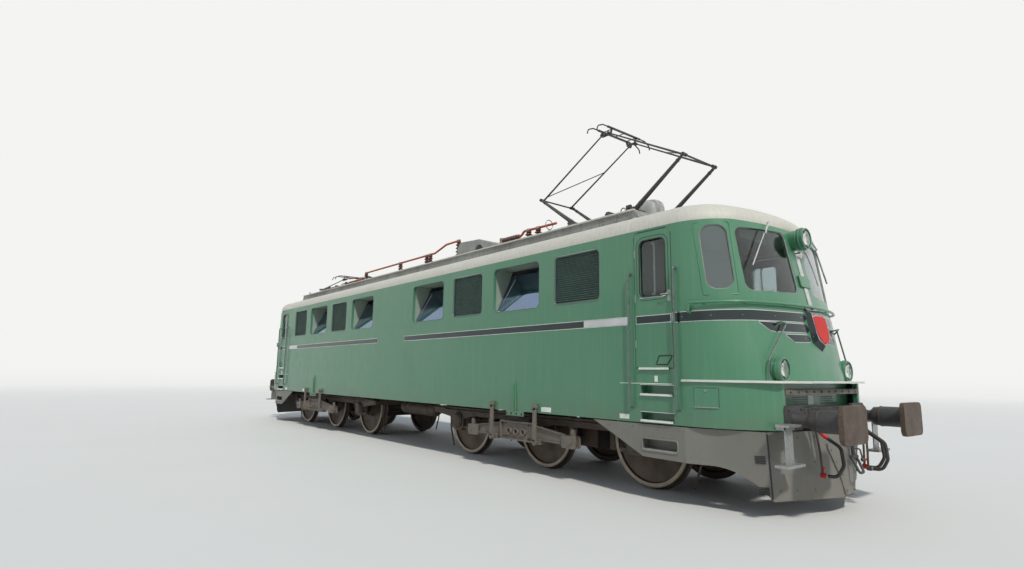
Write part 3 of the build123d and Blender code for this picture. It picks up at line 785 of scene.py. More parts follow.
APRON_R = 1.3263
APRON_FROM = (7.56, HALF_WIDTH - APRON_R)
BAY_HALF = 1.005
BAY_BACK = 8.393
HEADSTOCK_X = 8.533
HEADSTOCK_TOP = 1.2
BODY_BOTTOM = 0.959
SOLE_BOTTOM = 0.979
WALL = 0.06
SHEET = 0.014
STEP_X = (6.895, 7.395)
STEP_POCKETS = [(1.3, 1.432), (0.975, 1.094)]
TOOL_FLAP = (7.68, 7.964, 1.196, 1.412)


def apron_arc(x0, x1, out, steps=24):
    """Points of the apron's plan between two places along X, on its left side, moved out by a distance."""
    radius = APRON_R + out
    made = []
    for k in range(steps + 1):
        x = x0 + (x1 - x0) * k / steps
        reach = x - APRON_FROM[0]
        y = APRON_FROM[1] + (sqrt(radius**2 - reach**2) if reach > 0 else radius)
        made.append((x, y))
    return made


def standing(shape, outline, z0, z1):
    """Stands a plan outline up between two heights."""
    shape.prism(outline, z1 - z0, moved(0, 0, z0))


def main_frame():
    base = Shape()
    base.box((-6.86, -1.425, 1.36), (6.86, 1.425, 1.44))
    base.box((-1.15, -0.9, SOLE_BOTTOM), (1.15, 0.9, 1.36))
    base.boxes((-6.85, 1.26, SOLE_BOTTOM), (6.85, 1.425, 1.36))
    base.place("built_underframe", "gear_steel", bevel=0.004, instead="underframe")
    ends = Shape()
    ends.box((6.861, -1.33, 1.36), (7.435, 1.33, 1.46))
    ends.box((6.721, -1.424, 1.461), (7.435, 1.424, 1.64))
    inner = apron_arc(7.44, BAY_BACK, -WALL)
    standing(ends, inner + [(x, -y) for x, y in reversed(inner)], SOLE_BOTTOM, LEDGE_Z)
    ends.box((BAY_BACK, -BAY_HALF, SOLE_BOTTOM), (HEADSTOCK_X, BAY_HALF, HEADSTOCK_TOP))
    ends.place("headstocks", "tube_paint", "X", 0.004, slot="frame_grey")
    cover = Shape()
    cover.box((8.493, -BAY_HALF, 1.351), (8.5455, BAY_HALF, 1.414))
    cover.place("headstock_beams", "beam_paint", "X", 0.003)
    wall = Shape()
    y0, y1, low, pitch, slot = 0.177, 0.551, 1.228, 0.027, 0.012
    wall.box((BAY_BACK, -y0, HEADSTOCK_TOP), (BAY_BACK + 0.004, y0, LEDGE_Z))
    wall.boxes((BAY_BACK, y1, HEADSTOCK_TOP), (BAY_BACK + 0.004, BAY_HALF, LEDGE_Z))
    edges = [HEADSTOCK_TOP] + [low + pitch * k + part for k in range(4) for part in (0, slot)] + [LEDGE_Z]
    for z0, z1 in zip(edges[::2], edges[1::2]):
        wall.boxes((BAY_BACK, y0, z0), (BAY_BACK + 0.004, y1, z1))
    wall.place("bay_walls", "body_enamel", "X")


def cab_aprons():
    skin = Shape()
    outer = [(7.44, HALF_WIDTH)] + apron_arc(7.56, HEADSTOCK_X, 0) + [(HEADSTOCK_X, BAY_HALF)]
    inner = apron_arc(7.56, HEADSTOCK_X - WALL, -WALL) + [(HEADSTOCK_X - WALL, BAY_HALF)]
    inner = [(7.44, HALF_WIDTH - WALL)] + inner
    standing(skin, outer + list(reversed(inner)), BODY_BOTTOM, LEDGE_Z)
    x0, x1, z0, z1 = TOOL_FLAP
    standing(skin, apron_arc(x0, x1, 0.008, 8) + list(reversed(apron_arc(x0, x1, -0.01, 8))), z0, z1)
    skin.place("curved_aprons", "body_enamel", "YX", 0.002, instead="aprons")
    trim = Shape()
    trim.tube([(x, -y, z0 - 0.004) for x, y in apron_arc(x0, x1, 0.01, 8)], 0.006, 6)
    x, y = apron_arc(x0, x1, 0.009, 8)[4]
    trim.cone((x, -y + 0.004, 1.385), (x + 0.004, -y - 0.01, 1.385), 0.016, 0.013, 20)
    trim.place("tool_flap_trim", "galvanised", "YX")
    # A black bead round the tool flap: painted shade in the gap round the proud flap
    gap = Shape()
    top = [(x, -y, z1 + 0.002) for x, y in apron_arc(x0, x1, 0.003, 8)]
    foot = [(x, -y, z0 - 0.002) for x, y in apron_arc(x0, x1, 0.003, 8)]
    gap.tube(top + list(reversed(foot)), 0.004, 6, True)
    gap.place("tool_flap_gap_shade", "rubber_and_shade_black", "YX")


def pocket_boxes():
    pocket = Shape()
    (x0, x1), back = STEP_X, -1.345
    for z0, z1 in STEP_POCKETS:
        pocket.box((x0 - SHEET, back - SHEET, z0), (x1 + SHEET, back, z1))
        for low, high in ((z0 - SHEET, z0), (z1, z1 + SHEET)):
            pocket.box((x0 - SHEET, -1.426, low), (x1 + SHEET, back, high))
        for a in (x0 - SHEET, x1):
            pocket.box((a, -1.426, z0), (a + SHEET, back, z1))
        pocket.box((x0 + 0.001, -1.507, z0 + 0.001), (x1 - 0.001, back, z0 + 0.012))
    pocket.box((6.88, -1.507, 1.622), (7.35, -1.48, 1.6395))
    pocket.place("step_pockets", "body_enamel", "YX", 0.001)


def tank_pair():
    tanks = Shape()
    dome = [(0.052, -0.75), (0.12, -0.71), (0.15, -0.64)]
    profile = dome + [(radius, -x) for radius, x in reversed(dome)]
    tanks.turned(profile, moved(0, -0.64, 0.76, ALONG_X), 36)
    for x in (-0.45, 0.45):
        tanks.ring(0.15, 0.158, x - 0.02, x + 0.02, moved(0, -0.64, 0.76, ALONG_X), 36)
        tanks.box((x - 0.02, -0.66, 0.905), (x + 0.02, -0.62, SOLE_BOTTOM))
    tanks.place("air_tanks", "gear_steel", "Y")


class LOCO_OT_underframe(bpy.types.Operator):
    """Builds the underframe, the aprons round the buffer bays, tool flaps, step pockets and air tanks."""

    bl_idname = "loco.underframe"
    bl_label = "Build the underframe"

    def execute(self, context):
        main_frame()
        cab_aprons()
        pocket_boxes()
        tank_pair()
        return {"FINISHED"}


# Spring beams and body brackets

BEAM_MIDDLE = 4.3515
BEAM_Y = (-1.46, -1.33)
BEAM_HOLES = (-0.19, -0.012, 0.165)
HANGERS = (-0.553, 0.528)
ARM_WEB = [(0.398, 0.56), (1.06, 0.548), (1.06, 0.662), (0.398, 0.748)]
BRACKET_POST = [(-0.06, 0.962), (0.06, 0.962), (0.034, 1.4), (0.01, 1.45), (-0.032, 1.45), (-0.046, 1.4)]


def beam_arm(beam, x, ym, sign):
    """One arm of a beam out to its fork."""
    web = [(x + sign * a, z) for a, z in ARM_WEB]
    (xa, za), (xb, zb), (xc, zc), (xd, zd) = web
    beam.plate(web, ym - 0.014, ym + 0.014)
    beam.plate([(xa, za - 0.016), (xb, zb - 0.016), (xb, zb), (xa, za)], ym - 0.042, ym + 0.042)
    beam.plate([(xd, zd), (xc, zc), (xc, zc + 0.016), (xd, zd + 0.016)], ym - 0.042, ym + 0.042)
    a, b = sorted((x + sign * 1.046, x + sign * 1.328))
    fork = rounded([(a, 0.49), (b, 0.49), (b, 0.67), (a, 0.67)], 0.034, 5)
    beam.plate(fork, BEAM_Y[0], ym - 0.032)
    beam.plate(fork, ym + 0.032, BEAM_Y[1])
    at = x + sign * 1.24
    beam.pin(at, 0.58, BEAM_Y[0] - 0.02, BEAM_Y[1] + 0.01, 0.036, 20)
    beam.box((at - 0.03, ym - 0.026, 0.56), (at + 0.03, ym + 0.026, 0.76))


def beam_hanger(beam, x):
    """A link from a pin on the body side to a saddle under the beam."""
    outer, inner, pin, low, high = -1.54, -1.504, -1.552, 0.52, 1.046
    beam.box((x - 0.032, outer, low), (x + 0.032, inner, high))
    beam.pin(x, high, outer, inner, 0.048, 24)
    beam.pin(x, low, outer, inner, 0.046, 24)
    beam.pin(x, low, pin, BEAM_Y[1], 0.022, 16)
    beam.pin(x, high, pin, -HALF_WIDTH, 0.022, 16)
    beam.pin(x, high, inner, -HALF_WIDTH, 0.034, 20)
    beam.box((x - 0.046, BEAM_Y[0] - 0.01, low - 0.04), (x + 0.046, BEAM_Y[1], low + 0.04))


def bracket_pair():
    shape = Shape()
    x = BEAM_MIDDLE
    shape.box((x - 0.192, -1.507, 0.884), (x + 0.236, -HALF_WIDTH, 0.962))
    shape.plate([(x + a, z) for a, z in BRACKET_POST], -1.503, -HALF_WIDTH)
    shape.plate([(x - 0.01, 0.962), (x + 0.012, 0.962), (x + 0.008, 1.38), (x - 0.012, 1.38)], -1.52, -1.503)
    shape.place("body_brackets", "body_enamel", "YX", 0.003)


class LOCO_OT_spring_beams(bpy.types.Operator):
    """Builds the hung spring beams beside the bogies and the brackets above them."""

    bl_idname = "loco.spring_beams"
    bl_label = "Hang the spring beams"

    def execute(self, context):
        beam, holes = Shape(), Shape()
        y0, y1 = BEAM_Y
        ym = (y0 + y1) / 2
        x = BEAM_MIDDLE
        beam.box((x - 0.39, ym - 0.025, 0.51), (x + 0.39, ym + 0.025, 0.782))
        for low, high in (((-0.406, 0.496), (0.406, 0.52)), ((-0.406, 0.772), (0.406, 0.796))):
            beam.box((x + low[0], y0, low[1]), (x + high[0], y1, high[1]))
        for a in (-0.406, 0.384):
            beam.box((x + a, y0, 0.52), (x + a + 0.022, y1, 0.772))
        for hole in BEAM_HOLES:
            at = moved(x + hole, ym, 0.633, ALONG_Y)
            beam.ring(0.038, 0.056, -0.062, 0.062, at, 28)
            # A black plug in each bore, through the solid web: painted shade of the hole
            holes.turned([(0.0379, -0.03), (0.0379, 0.03)], at, 28)
        for sign in (-1, 1):
            beam_arm(beam, x, ym, sign)
        for hang in HANGERS:
            beam_hanger(beam, x + hang)
        beam.place("hung_spring_beams", "beam_paint", "YX", 0.003, slot="beam_grey", instead="spring_beams")
        holes.place("spring_beam_hole_shade", "rubber_and_shade_black", "YX", slot="beam_grey")
        bracket_pair()
        return {"FINISHED"}


# Buffers, hooks, couplings, shunter's steps and air hoses

# columns: radius, distance from the headstock
SHANK_SECTION = [
    (0.096, 0.038), (0.096, 0.04), (0.084, 0.062), (0.078, 0.12), (0.066, 0.19), (0.068, 0.228),
    (0.112, 0.232), (0.118, 0.3), (0.124, 0.306), (0.124, 0.6),
]
HOOK = [
    (8.7, 1.04), (8.7, 1.116), (8.77, 1.124), (8.812, 1.096), (8.838, 1.096), (8.838, 1.15), (8.876, 1.168),
    (8.906, 1.12), (8.896, 1.04), (8.85, 1.002), (8.78, 0.996),
]
# columns: x from, x to, y from, y to, z from, z to
STEP_PLATES = [
    (8.575, 8.725, -1.36, -1.066, 1.022, 1.046),
    (8.58, 8.73, -1.42, -1.04, 0.606, 0.636),
]
# columns: y, end of the pipe stub along X, reach of the hose along X
HOSES = [(-0.59, 8.7, 8.935), (0.59, 8.7, 8.935), (0.45, 8.792, 9.02)]
HOSE_FOOT = 0.47


def turned_buffers():
    shanks, heads = Shape(), Shape()
    against = moved(HEADSTOCK_X, 0, 0, ALONG_X)
    base = rounded([(-1.065, 0.965), (-0.685, 0.965), (-0.685, 1.235), (-1.065, 1.235)], 0.04, 6)
    shanks.prism(base, 0.04, against)
    for y, z in ((-0.15, -0.077), (-0.15, 0.113), (0.15, -0.077), (0.15, 0.113)):
        shanks.bolt((HEADSTOCK_X + 0.04, -BUFFER_Y + y, BUFFER_Z + z), (1, 0, 0), 0.018)
    axis = moved(0, -BUFFER_Y, BUFFER_Z, ALONG_X)
    shanks.turned([(radius, HEADSTOCK_X + x) for radius, x in SHANK_SECTION], axis, 40)
    head = rounded([(-1.18, 0.866), (-0.57, 0.866), (-0.57, 1.266), (-1.18, 1.266)], 0.072, 8)
    heads.prism(head, 0.0535, moved(9.146, 0, 0, ALONG_X))
    heads.turned([(0.104, 9.133), (0.104, 9.14), (0.132, 9.146), (0.132, 9.15)], axis, 40)
    shanks.place("turned_buffer_shanks", "tube_paint", "YX", 0.002, instead="buffer_shanks")
    heads.place("forged_buffer_heads", "buffer_steel", "YX", 0.008, instead="buffer_heads")


def hooks_and_couplings():
    hook, coupling = Shape(), Shape()
    against = moved(HEADSTOCK_X, 0, 0, ALONG_X)
    plate = rounded([(-0.21, 0.985), (0.21, 0.985), (0.21, 1.185), (-0.21, 1.185)], 0.03, 5)
    hook.prism(plate, 0.03, against)
    hook.bolts([(HEADSTOCK_X + 0.03, 0.165, z) for z in (1.02, 1.15)], (1, 0, 0), 0.016)
    hook.box((HEADSTOCK_X, -0.036, 1.04), (8.702, 0.036, 1.116))
    hook.plate(HOOK, -0.03, 0.03)
    coupling.pin(8.74, 1.06, -0.062, 0.062, 0.0155, 16)
    for side in (-1, 1):
        coupling.tube([(8.74, side * 0.048, 1.072), (8.806, side * 0.048, 0.822)], 0.018, 12)
    coupling.pin(8.806, 0.83, -0.07, 0.07, 0.026, 20)
    coupling.tube([(8.806, 0, 0.845), (8.82, 0, 0.6)], 0.019, 16)
    for k in range(12):
        z = 0.81 - 0.014 * k
        x = 8.808 + 0.0008 * k
        coupling.cone((x, 0, z), (x, 0, z - 0.007), 0.0215, 0.0215, 16)
    coupling.pin(8.819, 0.64, -0.072, 0.072, 0.024, 20)
    bow = [(8.819, -0.066, 0.64), (8.894, -0.066, 0.47), (8.894, 0.066, 0.47), (8.819, 0.066, 0.64)]
    coupling.tube(bend(bow, 0.045), 0.015, 14)
    coupling.tube(bend([(8.813, 0, 0.735), (8.874, 0.04, 0.735), (8.886, 0.07, 0.62)], 0.03), 0.009, 10)
    knob = [(0.004, -0.024), (0.018, -0.016), (0.024, 0), (0.018, 0.016), (0.004, 0.024)]
    coupling.turned(knob, moved(8.886, 0.07, 0.612), 20)
    hook.place("forged_drawhooks", "tube_paint", "X", 0.006, slot="coupler_steel", instead="drawhooks")
    coupling.place("screw_couplings", "tube_paint", "X", slot="coupler_steel")


def shunter_steps():
    shape = Shape()
    for x0, x1, y0, y1, z0, z1 in STEP_PLATES:
        shape.box((x0, y0, z0), (x1, y1, z1))
    for low, high in (
        ((8.634, -1.286, 0.606), (8.648, -1.12, 1.04)),
        ((8.534, -1.286, 0.985), (8.648, -1.272, 1.046)),
        ((8.534, -1.286, 0.985), (8.546, -1.066, 1.046)),
        ((8.546, -1.08, 0.985), (8.648, -1.066, 1.022)),
    ):
        shape.box(low, high)
    shape.place("shunter_steps", "galvanised", "YX", 0.002, slot="buffer_grey")


def air_hoses():
    hoses, pipes, clips, red = Shape(), Shape(), Shape(), Shape()
    for y, stub, reach in HOSES:
        foot = HOSE_FOOT
        line = [(stub, y, 0.95), (stub + 0.045, y, 0.905), (reach - 0.015, y, 0.79), (reach + 0.005, y, 0.6)]
        line += [(stub + 0.165, y, foot), (stub + 0.043, y, foot)]
        hoses.tube(bend(line, 0.09, 8), 0.019, 16)
        pipes.tube(bend([(HEADSTOCK_X, y, 1.01), (stub - 0.06, y, 1.01), (stub, y, 0.95)], 0.04), 0.025, 16)
        side = 1 if y > 0 else -1
        outer = y + side * 0.06
        run = [(8.56, outer, 1.0), (stub - 0.012, outer, 0.968), (stub + 0.006, y + side * 0.02, 0.69)]
        pipes.tube(bend(run + [(stub + 0.008, y, foot + 0.008)], 0.04), 0.013, 12)
        pipes.tube([(stub - 0.004, y, foot), (stub + 0.042, y, foot)], 0.027, 18)
        pipes.pin(stub + 0.008, foot, y - 0.034, y + 0.034, 0.014, 12)
        pipes.box((HEADSTOCK_X, outer - 0.015, 0.985), (8.575, outer + 0.015, 1.04))
        for x, z, dx, dz in ((stub + 0.006, 0.944, 0.7, -0.7), (stub + 0.052, foot, 1, 0)):
            clips.tube([(x, y, z), (x + dx * 0.014, y, z + dz * 0.014)], 0.0235, 14)
        if abs(y) > 0.5:
            tap = [(stub + 0.004, y, 0.946), (stub + 0.045, y, 0.905), (stub + 0.085, y, 0.88)]
            red.tube(tap, 0.0215, 14)
            red.tube([(stub - 0.01, y, foot), (stub + 0.044, y, foot)], 0.031, 16)
            red.tube([(stub + 0.01, y, foot), (stub + 0.02, y, foot + 0.085)], 0.009, 8)
            red.box((stub - 0.002, y - 0.014, foot + 0.072), (stub + 0.036, y + 0.014, foot + 0.094))
    hoses.place("air_hoses", "hose_rubber", "R")
    pipes.place("air_pipes", "gear_steel", "R", slot="buffer_grey")
    clips.place("hose_clips", "galvanised", "R")
    red.place("hose_cocks_red", "shield_enamel", "R", slot="buffer_grey")


class LOCO_OT_couplings(bpy.types.Operator):
    """Builds the buffers, drawhooks, screw couplings, shunter's steps and air hoses."""

    bl_idname = "loco.couplings"
    bl_label = "Mount the buffers and couplings"

    def execute(self, context):
        turned_buffers()
        hooks_and_couplings()
        shunter_steps()
        air_hoses()
        return {"FINISHED"}


# Rails, wipers and louvres

BELT_Z = 2.428
BELT_OUT = 0.048
BELT_END = 1.81
GRAB_BAR = [
    (8.325, -0.83, 2.098), (8.44, -0.8, 2.202), (8.45, -0.699, 2.185), (8.402, -1.069, 1.746),
    (8.402, -1.107, 1.512),
]


class LOCO_OT_rails(bpy.types.Operator):
    """Bends the belt rail round each cab, the grab bars and the door handrails, and hangs the wipers."""

    bl_idname = "loco.rails"
    bl_label = "Bend the handrails"

    def execute(self, context):
        belt, bars, doors, wipers = Shape(), Shape(), Shape(), Shape()
        radius = context.scene.loco_sizes.rail
        row = [cab_skin(BELT_END - (BELT_END - 1) * k / 24, BELT_Z, BELT_OUT) for k in range(25)]
        row += [cab_skin(1.0 - k / 24, BELT_Z, BELT_OUT) for k in range(1, 25)]
        end = row[0]
        foot = cab_skin(BELT_END + 0.02, BELT_Z - 0.115, 0.0)
        drop = bend([foot, (end.x - 0.02, end.y, BELT_Z - 0.105), end, row[1]], 0.035)
        belt.tube(drop[:-1] + row[1:], radius, 12)
        for u in (1.6, 1.05, 0.5):
            foot, top = cab_skin(u, BELT_Z - 0.006, -0.004), cab_skin(u, BELT_Z, BELT_OUT)
            belt.tube([foot, top], 0.009, 10)
            belt.cone(foot, foot.lerp(top, 0.16), 0.026, 0.022, 16)
        belt.place("belt_rails", "body_enamel", "YX")
        bars.tube(bend(GRAB_BAR, 0.04), 0.01, 12)
        for at in (GRAB_BAR[1], GRAB_BAR[2]):
            bars.tube([at, (at[0] - 0.09, at[1], at[2] - 0.02)], 0.009, 8)
        bars.place("grab_bars", "rail_gloss_as_reflection", "YX")
        low, high, out = 1.15, 2.889, -HALF_WIDTH - 0.0545
        for x in (6.762, 7.468):
            line = [(x, -HALF_WIDTH, low), (x, out, low), (x, out, high), (x, -HALF_WIDTH, high)]
            doors.tube(bend(line, 0.05, 8), 0.0155, 16)
            for z in (low, high):
                doors.cone((x, -HALF_WIDTH - 0.008, z), (x, -HALF_WIDTH, z), 0.026, 0.03, 20)
        doors.place("bent_door_rails", "rail_gloss_as_reflection", "YX", instead="door_handrails")
        arm = [(8.15, -0.514, 3.5), (8.222, -0.52, 3.5), (8.24, -0.64, 3.4), (8.262, -0.715, 3.312)]
        wipers.tube(bend(arm, 0.03), 0.011, 10)
        wipers.tube([(8.24, -0.708, 3.319), (8.236, -1.024, 2.875)], 0.012, 6)
        wipers.place("wipers", "polished_trim", "YX")
        return {"FINISHED"}


SLAT_COUNT = 22


class LOCO_OT_louvres(bpy.types.Operator):
    """Builds the framed air louvres slat by slat, and the cheeks of the deep side windows."""

    bl_idname = "loco.louvres"
    bl_label = "Fit the louvres"

    def execute(self, context):
        slats, cheeks = Shape(), Shape()
        pitch = (OPENING_HEIGHT - 0.044) / SLAT_COUNT
        for x, wide in SIDE_LOUVRES:
            for y in (-1.472, -1.43):
                outline = rounded(rectangle(x, OPENING_MID, wide - 0.022, OPENING_HEIGHT - 0.022), 0.075, 6)
                slats.bead(outline, y, 0.0115)
            half = wide / 2 - 0.004
            slats.box((x - half, -1.4258, OPENING_LOW + 0.004), (x + half, -1.425, OPENING_HIGH - 0.004))
            for k in range(SLAT_COUNT):
                z = OPENING_LOW + 0.022 + pitch * (k + 0.5)
                inset = 0.06 if k in (0, SLAT_COUNT - 1) else 0.018
                place = moved(x, -1.452, z) @ Matrix.Rotation(radians(38), 4, "X")
                slats.box((-wide / 2 + inset, -0.022, -0.0018), (wide / 2 - inset, 0.022, 0.0018), place)
        slats.place("louvre_slats", "louvre_paint", "YX", instead="side_louvres")
        y0, y1, low, high = -1.425, -1.053, OPENING_LOW - 0.02, OPENING_HIGH + 0.01
        for x, wide in SIDE_WINDOWS:
            outline = [(y0, low), (y0 + 0.04, low), (y1, high), (y0, high)]
            for at in (x - wide / 2 - SHEET, x + wide / 2):
                cheeks.prism(outline, SHEET, moved(at, 0, 0, ALONG_X))
            cheeks.box((x - wide / 2 - SHEET, y0, high), (x + wide / 2 + SHEET, y1, high + SHEET))
        cheeks.place("window_cheeks", "inner_paint", "YX")
        return {"FINISHED"}


# Roof equipment

CONDUCTOR_Y = -0.6
# columns: x, height, core radius, shed radius, sheds
POST_INSULATORS = [
    (-3.3, 0.365, 0.036, 0.066, 5),
    (-1.332, 0.365, 0.036, 0.066, 5),
    (-0.057, 0.368, 0.032, 0.058, 5),
    (0.113, 0.368, 0.032, 0.058, 5),
    (1.285, 0.502, 0.036, 0.066, 6),
    (3.637, 0.306, 0.038, 0.07, 4),
    (3.905, 0.301, 0.038, 0.07, 4),
    (-4.385, 0.225, 0.042, 0.078, 3),
    (-3.65, 0.225, 0.042, 0.078, 3),
]
# columns: x, z
CONDUCTORS = [
    [(-3.36, 4.292), (0.311, 4.299), (0.779, 4.424), (1.33, 4.432)],
    [(3.353, 4.16), (3.415, 4.16), (3.505, 4.236), (4.385, 4.222)],
    [(-4.44, 4.152), (-3.6, 4.152)],
]
HOOD_PROFILE = [(1.618, 3.905), (1.618, 4.15), (1.73, 4.276), (2.4, 4.235), (2.86, 4.086), (2.86, 3.905)]
PANTO_X = 5.358
BASE_FEET = [(x, y) for x in (-0.4, 0.4) for y in (-0.77, 0.77)]


def sheds(height, core, shed, count):
    """Section of an insulator: a metal cap at each end and sloped sheds between."""
    cap = 0.026
    pitch = (height - 2 * cap) / count
    section = [(core + 0.014, 0), (core + 0.014, cap)]
    for number in range(count):
        low = cap + pitch * number
        section += [(core, low + 0.002), (shed, low + pitch * 0.22), (shed, low + pitch * 0.4)]
        section.append((core, low + pitch * 0.82))
    return section + [(core + 0.014, height - cap), (core + 0.014, height)]


class LOCO_OT_roof_equipment(bpy.types.Operator):
    """Builds the insulators, conductors, switch hood, shaft hoods and pantograph bases."""

    bl_idname = "loco.roof_equipment"
    bl_label = "Build the roof equipment"

    def execute(self, context):
        posts, bars, hood = Shape(), Shape(), Shape()
        for x, *section in POST_INSULATORS:
            posts.turned(sheds(*section), moved(x, CONDUCTOR_Y, RAISED_TOP_Z), 28)
        posts.turned(sheds(0.487, 0.03, 0.052, 6), moved(2.866, CONDUCTOR_Y, 4.16, ALONG_X), 28)
        for end in (-1, 1):
            for x, y in BASE_FEET:
                place = moved(end * PANTO_X + x, y, RAISED_TOP_Z)
                posts.turned(sheds(0.15, 0.046, 0.084, 2), place, 28)
        posts.place("porcelain_posts", "porcelain", instead="roof_insulators")
        for points in CONDUCTORS:
            bars.tube(bend([(x, CONDUCTOR_Y, z) for x, z in points], 0.08), 0.022, 16)
        bars.place("bent_conductors", "conductor_paint", instead="roof_conductor")
        hood.plate(HOOD_PROFILE, -0.86, -0.34)
        hood.box((2.8, -0.65, 4.02), (2.87, -0.55, 4.216))
        hood.place("switch_hood", "deck_paint", bevel=0.012, slot="hood_grey", instead="roof_hood")
        arch = Shape()
        angles = [radians(180 * k / 14) for k in range(15)]
        outline = [(2.405 + 0.13 * cos(a), 3.99 + 0.13 * sin(a)) for a in angles]
        arch.plate([(2.535, 3.906)] + outline + [(2.275, 3.906)], -0.8612, -0.3388)
        arch.place("hood_arch", "rubber_and_shade_black", slot="hood_grey")
        domes = Shape()
        plan = rounded([(-0.2, -0.185), (0.2, -0.185), (0.2, 0.185), (-0.2, 0.185)], 0.15, 8)
        for end in (-1, 1):
            x = end * (PANTO_X + BASE_HALF + 0.002)
            levels = [(1, 3.905), (1, 4.2), (0.97, 4.27), (0.88, 4.33), (0.7, 4.366), (0.4, 4.374)]
            domes.skin([[(x + share * p.x, share * p.y, z) for p in plan] for share, z in levels])
        domes.place("shaft_domes", "dome_paint", instead="shaft_hoods")
        rim = Shape()
        rim.boxes((-6.58, 1.13, 3.884), (6.58, 1.178, 3.908))
        for x in (-5.2, -2.6, 0, 2.6, 5.2):
            rim.box((x - 0.03, -1.14, RAISED_TOP_Z - 0.002), (x + 0.03, 1.14, RAISED_TOP_Z + 0.006))
        rim.place("raised_roof_rim", "roof_paint", bevel=0.003)
        return {"FINISHED"}


# Pantographs

BASE_HALF, BASE_Z = 0.65, 4.154
KNEE = (1.569, 4.816)
HEAD_HALF, HEAD_PIVOT_Z = 0.07, 5.65
LOWER_Y, UPPER_Y = 0.425, 0.365
LOWER_LENGTH = hypot(KNEE[0] - BASE_HALF, KNEE[1] - BASE_Z)
UPPER_LENGTH = hypot(KNEE[0] - HEAD_HALF, HEAD_PIVOT_Z - KNEE[1])
RAISED = (atan2(KNEE[1] - BASE_Z, KNEE[0] - BASE_HALF), atan2(HEAD_PIVOT_Z - KNEE[1], KNEE[0] - HEAD_HALF))
ARM_TURN = radians(31.7)
LOWERED = (RAISED[0] - ARM_TURN, RAISED[1] - 0.7705 * ARM_TURN)


def panto_points(angles):
    """The knee and the head pivot of the arms at +X, from the pantograph's middle."""
    lower, upper = angles
    knee = (BASE_HALF + LOWER_LENGTH * cos(lower), BASE_Z + LOWER_LENGTH * sin(lower))
    return knee, (knee[0] - UPPER_LENGTH * cos(upper), knee[1] + UPPER_LENGTH * sin(upper))


def along(start, end, share, y):
    """A point between two (x, z) points, at a given y."""
    return Vector((start[0] + (end[0] - start[0]) * share, y, start[1] + (end[1] - start[1]) * share))


def lower_arm(name, x, sign, angles):
    arm = Shape()
    knee, _ = panto_points(angles)
    base, knee = (x + sign * BASE_HALF, BASE_Z), (x + sign * knee[0], knee[1])
    arm.pin(base[0], BASE_Z, -0.62, 0.62, 0.0249, 20)
    arm.pin(knee[0], knee[1], -LOWER_Y - 0.03, LOWER_Y + 0.03, 0.015, 16)
    for side in (-1, 1):
        y = side * LOWER_Y
        arm.cone(along(base, knee, 0, y), along(base, knee, 0.97, y), 0.04, 0.024, 20)
        arm.pin(base[0], BASE_Z, y - 0.046, y + 0.046, 0.048, 24)
        arm.pin(knee[0], knee[1], y - 0.022, y + 0.022, 0.03, 20)
        for share in (0.12, 0.88):
            at = along(base, knee, share, y)
            arm.cone(at, along(base, knee, share + 0.02, y), 0.043 - 0.014 * share, 0.043 - 0.014 * share, 20)
    arm.place(f"tapered_{name}", "panto_steel", body=name, instead=name)


def upper_arm(name, x, sign, angles):
    arm = Shape()
    knee, head = panto_points(angles)
    knee, head = (x + sign * knee[0], knee[1]), (x + sign * head[0], head[1])
    arm.tube([along(knee, head, 0.06, -UPPER_Y), along(knee, head, 0.6, UPPER_Y)], 0.009, 12)
    inner, outer = (0.0122, 0.026) if sign > 0 else (0.0262, 0.038)
    for side in (-1, 1):
        y = side * UPPER_Y
        arm.cone(along(knee, head, 0.018, y), along(knee, head, 0.985, y), 0.017, 0.012, 16)
        for (at_x, at_z), ring, bore in ((knee, 0.027, 0.0152), (head, outer, inner)):
            arm.ring(bore, ring, -0.018, 0.018, moved(at_x, y, at_z, ALONG_Y), 24)
    arm.place(f"tapered_{name}", "panto_steel", body=name, instead=name)


def contact_head(end_name, x, angles):
    name = f"pantograph_head_{end_name}"
    head, strips = Shape(), Shape()
    z = panto_points(angles)[1][1]
    web = [(-0.125, 0.082), (-0.096, -0.022), (0.096, -0.022), (0.125, 0.082), (0.088, 0.082), (0.062, 0.02)]
    web += [(-0.062, 0.02), (-0.088, 0.082)]
    for side in (-1, 1):
        y0 = side * (UPPER_Y - 0.05)
        for at in (-HEAD_HALF, HEAD_HALF):
            head.tube([(x + at, y0, z), (x + at, side * (UPPER_Y + 0.03), z)], 0.012, 14)
        head.plate([(x + a, z + b) for a, b in web], y0, y0 + side * 0.012)
        for at in (-0.11, 0.11):
            horn = [(0.42, 0.088), (0.56, 0.084), (0.68, 0.03), (0.7, -0.045)]
            head.tube(bend([(x + at, side * y, z + dz) for y, dz in horn], 0.07), 0.0115, 12)
    for at in (-0.11, 0.11):
        head.box((x + at - 0.022, -0.43, z + 0.076), (x + at + 0.022, 0.43, z + 0.088))
        strips.box((x + at - 0.015, -0.43, z + 0.086), (x + at + 0.015, 0.43, z + 0.0998))
    for y in (-0.305, 0, 0.305):
        head.box((x - 0.11, y - 0.012, z + 0.076), (x + 0.11, y + 0.012, z + 0.084))
    head.place(f"built_{name}", "panto_steel", bevel=0.001, body=name, instead=name)
    strips.place(f"carbon_strips_{end_name}", "rubber_and_shade_black", bevel=0.002, slot="panto_steel", body=name)


